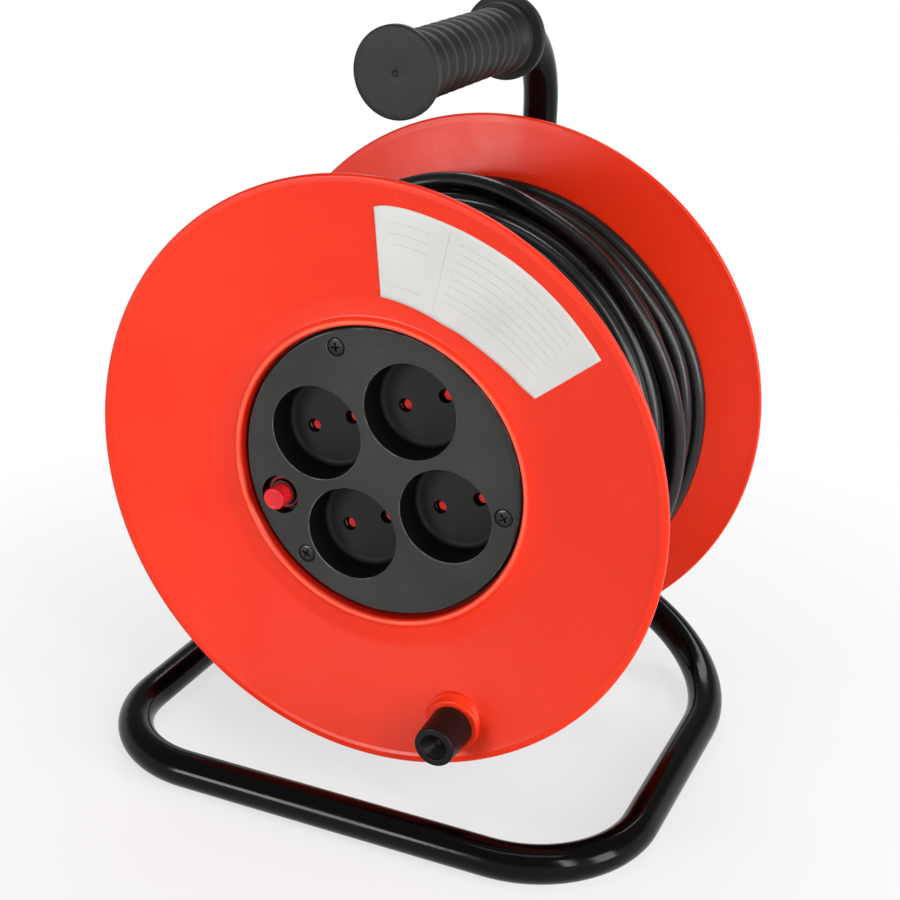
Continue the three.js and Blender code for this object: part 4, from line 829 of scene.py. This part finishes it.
def socket_plate():
    """The plate with its four deep cups, pin holes, button hole and countersinks, closed all round."""
    rim = [
        (60.2, PLATE_FACE), (61.1, PLATE_FACE, 0.5), (62.4, PLATE_FACE + 1.5, 0.6),
        (62.4, PLATE_BACK, 0.3), (61.0, PLATE_BACK),
    ]
    cup = [(21.1, PLATE_FACE), (20.3, PLATE_FACE, 0.6), (19.8, RECESS_FLOOR, 3.0), (14.6, RECESS_FLOOR)]
    shell = [(22.4, PLATE_BACK), (22.0, PLATE_BACK, 0.3), (21.5, RECESS_BACK, 0.8), (19.0, RECESS_BACK)]
    pin = [(3.5, RECESS_FLOOR), (2.9, RECESS_FLOOR, 0.35), (2.9, RECESS_BACK)]
    button = [(9.0, PLATE_FACE), (8.5, PLATE_FACE, 0.4), (8.5, PLATE_BACK)]
    seat = [(4.5, PLATE_FACE), (4.1, PLATE_FACE, 0.25), (4.0, PLATE_FACE + 0.75, 0.2), (1.8, PLATE_BACK)]
    shapes = [lathe(rim, FLANGE_SIDES, 0.12)]
    for x, z in SOCKETS:
        shapes += [lathe(cup, 144, 0.1, at=(x, z)), lathe(shell, 96, 0.3, at=(x, z))]
        for depth, floor, hole in (
            (RECESS_FLOOR, circle(x, z, 14.6, 144), 3.5),
            (RECESS_BACK, circle(x, z, 19.0, 96), 2.9),
        ):
            ways = [circle(x + side, z, hole, 40) for side in (-PIN_APART, PIN_APART)]
            shapes.append(flat_face(depth, floor, ways))
    for x, z in SOCKETS:
        shapes += [lathe(pin, 40, at=(x + side, z)) for side in (-PIN_APART, PIN_APART)]
    shapes.append(lathe(button, 96, at=(BUTTON_X, 0.0)))
    shapes += [lathe(seat, 48, at=at) for at in PLATE_SCREWS]
    shapes.append(plate_face(PLATE_FACE, 60.2, (21.1, 144), (9.0, 96), (4.5, 48)))
    shapes.append(plate_face(PLATE_BACK, 61.0, (22.4, 96), (8.5, 96), (1.8, 48)))
    replaced = ("socket_plate",)
    even_normals(piece("socket_insert", turned_in(shapes), PLATE, "black_plastic", replaces=replaced))


def shutter(number, x, z):
    """A slide behind the pin holes: a flat plate with a well under each hole round a raised stud that
    the pin's tip meets first: y = face + depth * inside(r) * (distance from the stud - its radius)."""
    half_length, half_width, thickness = 13.0, 3.8, 2.0
    rows, columns = 121, 37
    length = np.linspace(-half_length, half_length, rows)
    across, up = np.meshgrid(length, np.linspace(-half_width, half_width, columns), indexing="ij")
    depth = np.zeros_like(across)
    for side in (-PIN_APART, PIN_APART):
        r = np.hypot(across - side, up * 1.17)
        off = np.hypot(across - side - 0.6, up + 0.35)
        well = 1.5 * eased((4.4 - r) / 0.5) * np.clip((off - 1.9) / 1.3, 0, 1)
        depth = np.maximum(depth, well)
    front = np.stack([across, SHUTTER_FACE + depth, up], -1).reshape(-1, 3)
    back = front * (1, 0, 1) + (0, SHUTTER_FACE + thickness, 0)
    index = np.arange(rows * columns).reshape(rows, columns)
    ring = np.concatenate([index[0], index[1:, -1], index[-1, -2::-1], index[-2:0:-1, 0]])
    after = np.roll(ring, -1)
    count = len(front)
    sides = np.stack([ring, after, after + count, ring + count], -1)
    quads = grid_quads(rows, columns)
    faces = np.concatenate([quads, quads[:, ::-1] + count, sides])
    slide = turned_in([shifted((np.concatenate([front, back]), faces), x, z)])
    body = f"shutter_{number}"
    piece(f"shutter_slide_{number}", slide, SHUTTER, "signal_red", body=body, replaces=(body,))


def cross(width, reach):
    """The outline of a cross with arms of one width."""
    w, r = width / 2, reach
    corner = [(r, -w), (r, w), (w, w)]
    turns = [(1, 0), (0, 1), (-1, 0), (0, -1)]
    return np.array([(x * c - z * s, x * s + z * c) for c, s in turns for x, z in corner])


def plate_screw(number, x, z):
    """A countersunk head, crowned and ringed, with a tapering cross recess, on its shank."""
    top = PLATE_FACE + 0.05
    head = [
        (2.3, top), (2.7, top + 0.05, 0.1), (2.85, top + 0.2, 0.05), (3.5, top + 0.36, 0.15),
        (3.6, top + 0.6, 0.12), (1.5, top + 2.5, 0.3), (1.5, 27.4, 0.4), (0.2, 29.0),
    ]
    levels = ((cross(0.85, 1.9), top), (cross(0.75, 1.7), top + 0.9), (cross(0.6, 1.0), top + 1.7))
    rings = [np.stack([c[:, 0], np.full(12, y), c[:, 1]], -1) for c, y in levels]
    shapes = [lathe(head, 64), flat_face(top, circle(0, 0, 2.3, 64), [levels[0][0]])]
    shapes.append((np.concatenate(rings), grid_quads(3, 12, False, True)))
    shapes.append(flat_face(top + 1.7, levels[2][0]))
    placed = turned_in([shifted(carried_round(shape, 0.35 + number), x, z) for shape in shapes])
    replaced = (f"plate_screw_{number}",)
    piece(f"screw_{number}", placed, BLACK_STEEL, "dark_steel", replaces=replaced, sharp=28)


def reset_button():
    """The button's cap with a soft edge and a shallow dish in its face, its shoulder and its stem,
    and the collar round it."""
    tip, shoulder = 6.6, 22.8
    outline = [
        (0.0, tip + 0.15), (3.3, tip + 0.12, 0.5), (3.6, tip, 0.2), (4.7, tip, 0.55),
        (4.7, 18.4, 0.4), (4.3, 19.2, 0.4), (4.3, shoulder), (5.4, shoulder, 0.2),
        (5.4, shoulder + 1.5, 0.2), (2.6, shoulder + 1.5, 0.2), (2.6, shoulder + 5.0, 0.3),
        (0.0, shoulder + 5.0),
    ]
    cap = turned_in([lathe(outline, 64, 0.15, at=(BUTTON_X, 0.0))])
    piece("thermal_button", cap, SIGNAL, "signal_red", body="button", replaces=("reset_button",))
    ring = [(5.8, 15.7, 0.4), (7.3, 15.7, 0.5), (7.3, 18.9, 0.2), (5.8, 18.9, 0.2)]
    collar = turned_in([lathe(ring, 72, 0.15, True, (BUTTON_X, 0.0))])
    piece("thermal_collar", collar, SHADED_COLLAR_RED, "signal_red", replaces=("button_collar",))


socket_plate()
for count, place in enumerate(SOCKETS, 1):
    shutter(count, *place)
for count, place in enumerate(PLATE_SCREWS, 1):
    plate_screw(count, *place)
reset_button()


# ------------------------------ crank knob
def crank_knob():
    """The tapered rubber knob: rounded rim, flat ring and conical hollow in its end, bore behind.
    In the bore is the rivet that it turns on, headed in the knob and on the flange."""
    base, tip, pin_tip = 0.6, -17.5, -8.4
    outline = [
        (3.35, base, 0.2), (9.3, base, 0.5), (8.6, tip, 1.0), (5.7, tip, 0.6), (5.3, tip + 1.1, 0.5),
        (1.2, tip + 5.4, 1.0), (0.0, tip + 5.6), (0.0, pin_tip - 0.3), (3.35, pin_tip - 0.3),
        (3.35, pin_tip + 0.5), (4.35, pin_tip + 0.9), (4.35, pin_tip + 3.2), (3.35, pin_tip + 3.6),
    ]
    knob = [lathe(outline, 96, 0.14, True, KNOB)]
    replaced = ("crank_knob",)
    even_normals(piece("knob", knob, KNOB_RUBBER, "black_rubber", body="knob", replaces=replaced))
    rivet = [
        (0.0, pin_tip), (2.5, pin_tip, 0.3), (3.8, pin_tip + 1.3, 0.3), (3.8, pin_tip + 2.7, 0.3),
        (3.0, pin_tip + 3.3, 0.1), (3.0, 7.4, 0.1), (6.0, 7.4, 0.2), (6.0, 8.6, 0.6),
        (4.6, 9.4, 0.5), (0.0, 9.4),
    ]
    piece("knob_rivet", [lathe(rivet, 64, at=KNOB)], ZINC, "bright_steel", replaces=("knob_pin",))


crank_knob()


# ------------------------------ label
def dish_lift(r):
    """Depth of the front of the dish, softened at the crease as the moulding is."""
    slope = (DISH_FRONT - 0.65) / (120.6 - CREASE)
    soft = 3.0
    t = np.clip((r - CREASE + soft) / (2 * soft), 0, 1)
    bend = slope * soft * t * t
    return np.where(r > CREASE + soft, DISH_FRONT - slope * (r - CREASE), DISH_FRONT - bend)


# bearings in degrees and radii along both edges of the sticker
LABEL_INNER = np.array([
    (89.2, 76.0), (84, 75.5), (77, 74.8), (72, 74.3), (68.6, 74.0), (63, 74.5), (58, 74.7),
    (50.5, 75.7), (43, 77.4), (39, 78.3), (34.5, 80.9),
])
LABEL_OUTER = np.array([
    (89.2, 113.2), (87.5, 114.4), (83, 115.0), (75, 115.0), (66, 115.3), (59, 115.8),
    (50, 116.1), (35.8, 116.3),
])


def label_edge(corners, u):
    """An edge as points (x, z): its radius read over the bearing and smoothed by a sliding mean."""
    bearing = np.radians(corners[0, 0] - (corners[0, 0] - corners[-1, 0]) * u)
    radius = np.interp(-bearing, -np.radians(corners[:, 0]), corners[:, 1])
    mean = np.hanning(15) / np.hanning(15).sum()
    padded = np.pad(radius, 7, mode="reflect", reflect_type="odd")
    radius = np.convolve(padded, mean, "valid")
    return np.stack([radius * np.cos(bearing), radius * np.sin(bearing)], -1)[:, None]


def label():
    """The sticker: straight lines from its inner edge to its outer edge, laid on the dish."""
    rows, columns = 150, 26
    u, v = np.linspace(0, 1, rows), np.linspace(0, 1, columns)[None, :, None]
    bottom, top = label_edge(LABEL_INNER, u), label_edge(LABEL_OUTER, u)
    flat = bottom + (top - bottom) * v
    depth = dish_lift(np.linalg.norm(flat, axis=-1)) - 0.1
    points = np.stack([flat[..., 0], depth, flat[..., 1]], -1).reshape(-1, 3)
    uv = np.stack(np.broadcast_arrays(u[:, None], v[..., 0]), -1).reshape(-1, 2)
    shape = points, grid_quads(rows, columns)
    made = piece("label", [shape], LABEL, "white_plastic", uv=uv, weld=False)
    film = made.modifiers.new("film", "SOLIDIFY")
    film.thickness = 0.00018
    film.offset = 1


label()


# ------------------------------ stand
def bent_line(corners, bends):
    """Straight runs between corners, each corner rounded by an arc of its bend radius."""
    corners = [np.array(c, float) for c in corners]
    out = [corners[0][None]]
    for before, here, after, radius in zip(corners, corners[1:], corners[2:], bends):
        into = (here - before) / np.linalg.norm(here - before)
        away = (after - here) / np.linalg.norm(after - here)
        turn = math.acos(float(np.clip(into @ away, -1, 1)))
        start = here - into * radius * math.tan(turn / 2)
        inward = away - into * math.cos(turn)
        inward /= np.linalg.norm(inward)
        count = max(int(math.degrees(turn) / 4.0), 2)
        a = np.linspace(0, turn, count + 1)[:, None]
        out.append(start + into * radius * np.sin(a) + inward * radius * (1 - np.cos(a)))
    out.append(corners[-1][None])
    return np.concatenate(out)


def spaced(path, step):
    """A path with extra points along its long straight runs."""
    out = [path[:1]]
    for a, b in zip(path[:-1], path[1:]):
        n = max(int(np.linalg.norm(b - a) / step), 1)
        out.append(a + (b - a) * (np.arange(1, n + 1) / n)[:, None])
    return np.concatenate(out)


TUBE_RADIUS = 7.9
BAR = TUBE_RADIUS - AXLE_HEIGHT  # middle of the bars that lie on the floor
HALF_WIDTH, FRONT_BAR = 118.4, -30.8
SLOPE = math.tan(math.radians(20))
FOOT = BAR + HALF_WIDTH * SLOPE  # of the riser
HANDLE = 159.3
GRIP_FRONT, GRIP_LENGTH = 22.0, 109.0
RIBS, RIB_PITCH, RIBS_FROM = 10, 8.1, 14.0


def weld_bead():
    """The weld round the left leg where it meets the riser: a rippled ring in the meeting plane."""
    a = np.linspace(0, TAU, 120, endpoint=False)
    slant = math.atan(SLOPE)
    rise = 8.0 * np.sin(a)
    along = (-7.2 - 1.5 * np.sin(a)) * math.cos(slant) + rise * math.sin(slant) * 0.2
    height = FOOT - 7.2 * SLOPE + rise / math.cos(slant)
    centre = np.stack([along, RISER_BACK + 8.0 * np.cos(a), height], -1)
    tangent = np.roll(centre, -1, 0) - np.roll(centre, 1, 0)
    tangent /= np.linalg.norm(tangent, axis=1)[:, None]
    out = centre - centre.mean(0)
    out /= np.linalg.norm(out, axis=1)[:, None]
    rings = tube_rings(centre, out, np.cross(tangent, out), 1.15 + 0.18 * np.sin(a * 26), 14)
    return rings.reshape(-1, 3), grid_quads(120, 14, True, True)


def stand():
    """One tube: front bar, both corners, the right leg up into the riser and forward into the grip,
    and the left leg that is welded to it."""
    corners = [(1, FRONT_BAR), (1, RISER_BACK)]
    right = [(0, FRONT_BAR, BAR), *((HALF_WIDTH * side, y, BAR) for side, y in corners)]
    left = [(-x, y, z) for x, y, z in right] + [(-1.0, RISER_BACK, FOOT - SLOPE)]
    right += [(0, RISER_BACK, FOOT), (0, RISER_BACK, HANDLE), (0, GRIP_FRONT + 12, HANDLE)]
    right, left = bent_line(right, (48, 75, 40, 36)), bent_line(left, (48, 75))
    whole = spaced(np.concatenate([left[::-1], right[1:]]), 6.0)
    shapes = [capped(swept(whole, TUBE_RADIUS, 56, (0, 0, 1))), weld_bead()]
    replaced = ("stand_tube",)
    piece("stand_frame", shapes, ENAMEL, "black_paint", body="stand", replaces=replaced, sharp=50)


def grip():
    """The rubber grip as a radius along its length: dished end cap, a waist, ten shallow ribs whose
    crests are narrower than their valleys, a smooth collar, a groove and the rear flange."""
    end = GRIP_LENGTH
    cap = [
        (0.0, 0.62), (0.7, 0.6, 0.2), (1.3, 0.12, 0.5), (15.8, 0.0, 3.0), (17.8, 0.25, 0.8),
        (17.8, 3.2, 1.1), (14.3, 5.4, 3.0), (12.7, 9.6, 2.5), (12.6, RIBS_FROM),
    ]
    s = np.linspace(0, RIBS, RIBS * 22 + 1)
    crest = np.abs(np.sin(np.pi * s)) ** 1.7
    ribs = np.stack([12.62 + 1.2 * crest, RIBS_FROM + RIB_PITCH * s], -1)[1:]
    ribs_to = RIBS_FROM + RIBS * RIB_PITCH
    back = [
        (12.62, ribs_to), (13.0, ribs_to + 0.6, 0.6), (15.0, ribs_to + 3.6, 1.2),
        (15.1, end - 6.2, 0.8), (13.9, end - 5.3, 0.6), (13.9, end - 4.2, 0.6),
        (17.6, end - 3.5, 0.5), (18.3, end - 2.9, 0.5), (18.3, end, 0.9), (8.4, end, 0.5),
        (8.4, 14.0), (0.0, 14.0),
    ]
    cap, back = filleted(cap, False, 0.1), filleted(back, False, 0.1)
    points, faces = turned(np.concatenate([cap, ribs, back[1:]]), 128, False)
    shape = points + (0, GRIP_FRONT, HANDLE), faces
    slot = "black_rubber"
    piece("carrying_grip", [shape], RUBBER, slot, body="stand", replaces=("grip",), sharp=50)


stand()
grip()


# ------------------------------ axle
def hexagon(corner, base, top):
    """A hexagonal head: radius a / cos(t mod 60 - 30), its far edge chamfered by a cone."""
    t = np.arange(96) * TAU / 96
    apothem = corner * math.cos(math.pi / 6)
    radius = apothem / np.cos((t + math.pi / 6) % (math.pi / 3) - math.pi / 6)
    drop = np.maximum(radius - 0.95 * apothem, 0) * 0.5
    levels = [
        (0.9 * apothem, base), (radius, base + 0.2), (radius, top - drop), (0.95 * apothem, top),
        (0.6 * apothem, top),
    ]
    return capped([about_axle(r, y, t) for r, y in levels])


def axle():
    """The bolt through the riser with its rear washer, and the bush that the drum turns on."""
    seat = RISER_BACK + 8.3
    shank = [(0.0, 85.6), (4.4, 85.6), (5.0, 86.4, 0.2), (5.0, seat + 0.5), (0.0, seat + 0.5)]
    bolt = [lathe(shank, 48, 0.3), hexagon(9.2, seat, seat + 6.0)]
    on_stand = {"body": "stand", "slot": "bright_steel"}
    piece("axle_bolt_bright", bolt, ZINC, replaces=("axle_bolt",), sharp=28, **on_stand)
    near, far = depths("rear_washer")
    washer = [(5.3, near, 0.1), (11.0, near, 0.3), (11.0, far, 0.3), (5.3, far, 0.1)]
    shapes = [lathe(washer, 72, 0.3, True)]
    piece("thrust_washer", shapes, ZINC, replaces=("rear_washer",), **on_stand)
    near, far = depths("hub_bush")
    bush = [
        (5.35, near, 0.2), (8.25, near, 0.4), (8.25, far - 2, 0.1), (13.5, far - 2, 0.3),
        (13.5, far, 0.5), (5.35, far, 0.3),
    ]
    shapes = [lathe(bush, 72, closed=True)]
    piece("bearing_bush", shapes, WHITE_MOULDING, "white_plastic", replaces=("hub_bush",))


axle()


# ------------------------------ lead, wires and grommet inside
def inner_lead(name, node, material):
    """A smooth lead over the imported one: its solid merged, its triangles joined up and rounded."""
    bm = bmesh.new()
    bm.from_mesh(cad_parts[node].data)
    bmesh.ops.remove_doubles(bm, verts=bm.verts, dist=2e-6)
    bmesh.ops.join_triangles(bm, faces=bm.faces, angle_face_threshold=0.6, angle_shape_threshold=3.2)
    bmesh.ops.recalc_face_normals(bm, faces=bm.faces)
    mesh = bpy.data.meshes.new(name)
    bm.to_mesh(mesh)
    bm.free()
    made = smooth_object(name, mesh, material, "drum", (node,))
    rounded = made.modifiers.new("rounded", "SUBSURF")
    rounded.levels = rounded.render_levels = 2


inner_lead("lead_inside", "inlet_lead", SHEATH_INSIDE)
inner_lead("live_lead", "wire_live", BROWN_WIRE)
inner_lead("switched_lead", "wire_switched", BROWN_WIRE)
inner_lead("neutral_lead", "wire_neutral", BLUE_WIRE)
inner_lead("cable_grommet", "inlet_grommet", RUBBER)

# ------------------------------ finishes of the CAD solids that stay
KEPT = {
    ZINC: "barrel_screw_1 barrel_screw_2 barrel_screw_3 cover_screw clamp_screw_1 clamp_screw_2"
    " shutter_spring_1 shutter_spring_2 shutter_spring_3 shutter_spring_4 reset_spring"
    " front_washer axle_nut",
    WHITE_MOULDING: "contact_carrier",
    DARK_MOULDING: "contact_cover thermal_cutout lead_clamp",
    BRASS: "contact_strip_inner contact_strip_outer",
}
for finish, names in KEPT.items():
    for name in names.split():
        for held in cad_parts[name].material_slots:
            held.material = finish


def shortens(name):
    """A spring given a mesh of its own."""
    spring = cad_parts[name]
    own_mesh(spring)


for number in range(1, 5):
    shortens(f"shutter_spring_{number}")
shortens("reset_spring")

# ------------------------------ studio
WORLD_LIGHT = 0.5
CEILING = 0.25  # of the surround over the reel, beside its white horizon
MIDDLE = (0, 0, 0.15)
LAMPS = {  # place, aim, width and height, watts
    "front_left": ((-0.72, -1.6, 0.32), MIDDLE, (0.5, 0.4), 12),
    "front_right": ((1.25, -0.95, 0.95), MIDDLE, (0.2, 1.1), 12),
    "side_right": ((1.5, -0.25, 0.45), (0, 0.1, 0.15), (0.45, 0.9), 14),
    "over_top": ((0.1, -0.35, 1.6), MIDDLE, (1.1, 0.2), 2.5),
    "over_back": ((-0.3, 1.1, 1.3), MIDDLE, (1.2, 0.3), 7.5),
}


def lamp(name, place, aim, size, power):
    """A rectangular soft lamp that faces a point."""
    data = bpy.data.lights.new(name, "AREA")
    data.shape = "RECTANGLE"
    data.size, data.size_y = size
    data.energy = power
    made = added(name, data)
    made.location = place
    made.rotation_euler = (Vector(place) - Vector(aim)).to_track_quat("Z", "Y").to_euler()


def surround():
    """A surround that shows as white at the horizon and grows dimmer over the reel."""
    world = bpy.data.worlds.new("surround")
    bpy.context.scene.world = world
    sky = Nodes(world)
    ground = sky.tree.nodes["Background"].inputs
    sky.put(ground["Strength"], sky.span(sky.background_rays(), 0, 1, WORLD_LIGHT, 1.0))
    height = sky.parts(sky.frame["Generated"])["Z"]
    sky.put(ground["Color"], sky.span(height, 0.2, 0.42, 1.0, CEILING))


def floor_paper():
    """White paper that takes the object's shadow near it and shows as plain white further off."""
    f = Finish("floor_paper")
    f.set((0.9, 0.9, 0.9, 1), 0.9, 0.1)
    length = f.node("ShaderNodeVectorMath", {"operation": "LENGTH"})
    f.put(length.inputs[0], f.place)
    share = f.times(f.span(length.outputs["Value"], 0.1, 0.38, 0.66, 1.0), f.background_rays())
    white = f.node("ShaderNodeEmission", Color=(1, 1, 1, 1))
    mix = f.node("ShaderNodeMixShader")
    for socket, source in zip(mix.inputs, (share, f.shader.outputs[0], white.outputs[0])):
        f.put(socket, source)
    f.put(f.tree.nodes["Material Output"].inputs["Surface"], mix.outputs[0])
    return f.material


def studio():
    """Pale floor and surround, a soft lamp at the front left and narrow ones round the reel."""
    surround()
    sheet = bpy.data.meshes.new("floor")
    reach, drop = 6.0, -0.0002
    corners = [(-reach, -reach, drop), (reach, -reach, drop), (reach, reach, drop), (-reach, reach, drop)]
    sheet.from_pydata(corners, [], [(0, 1, 2, 3)])
    floor = added("floor", sheet)
    sheet.materials.append(floor_paper())
    for name, settings in LAMPS.items():
        lamp(name, *settings)


studio()

bpy.context.scene.view_settings.view_transform = "Standard"
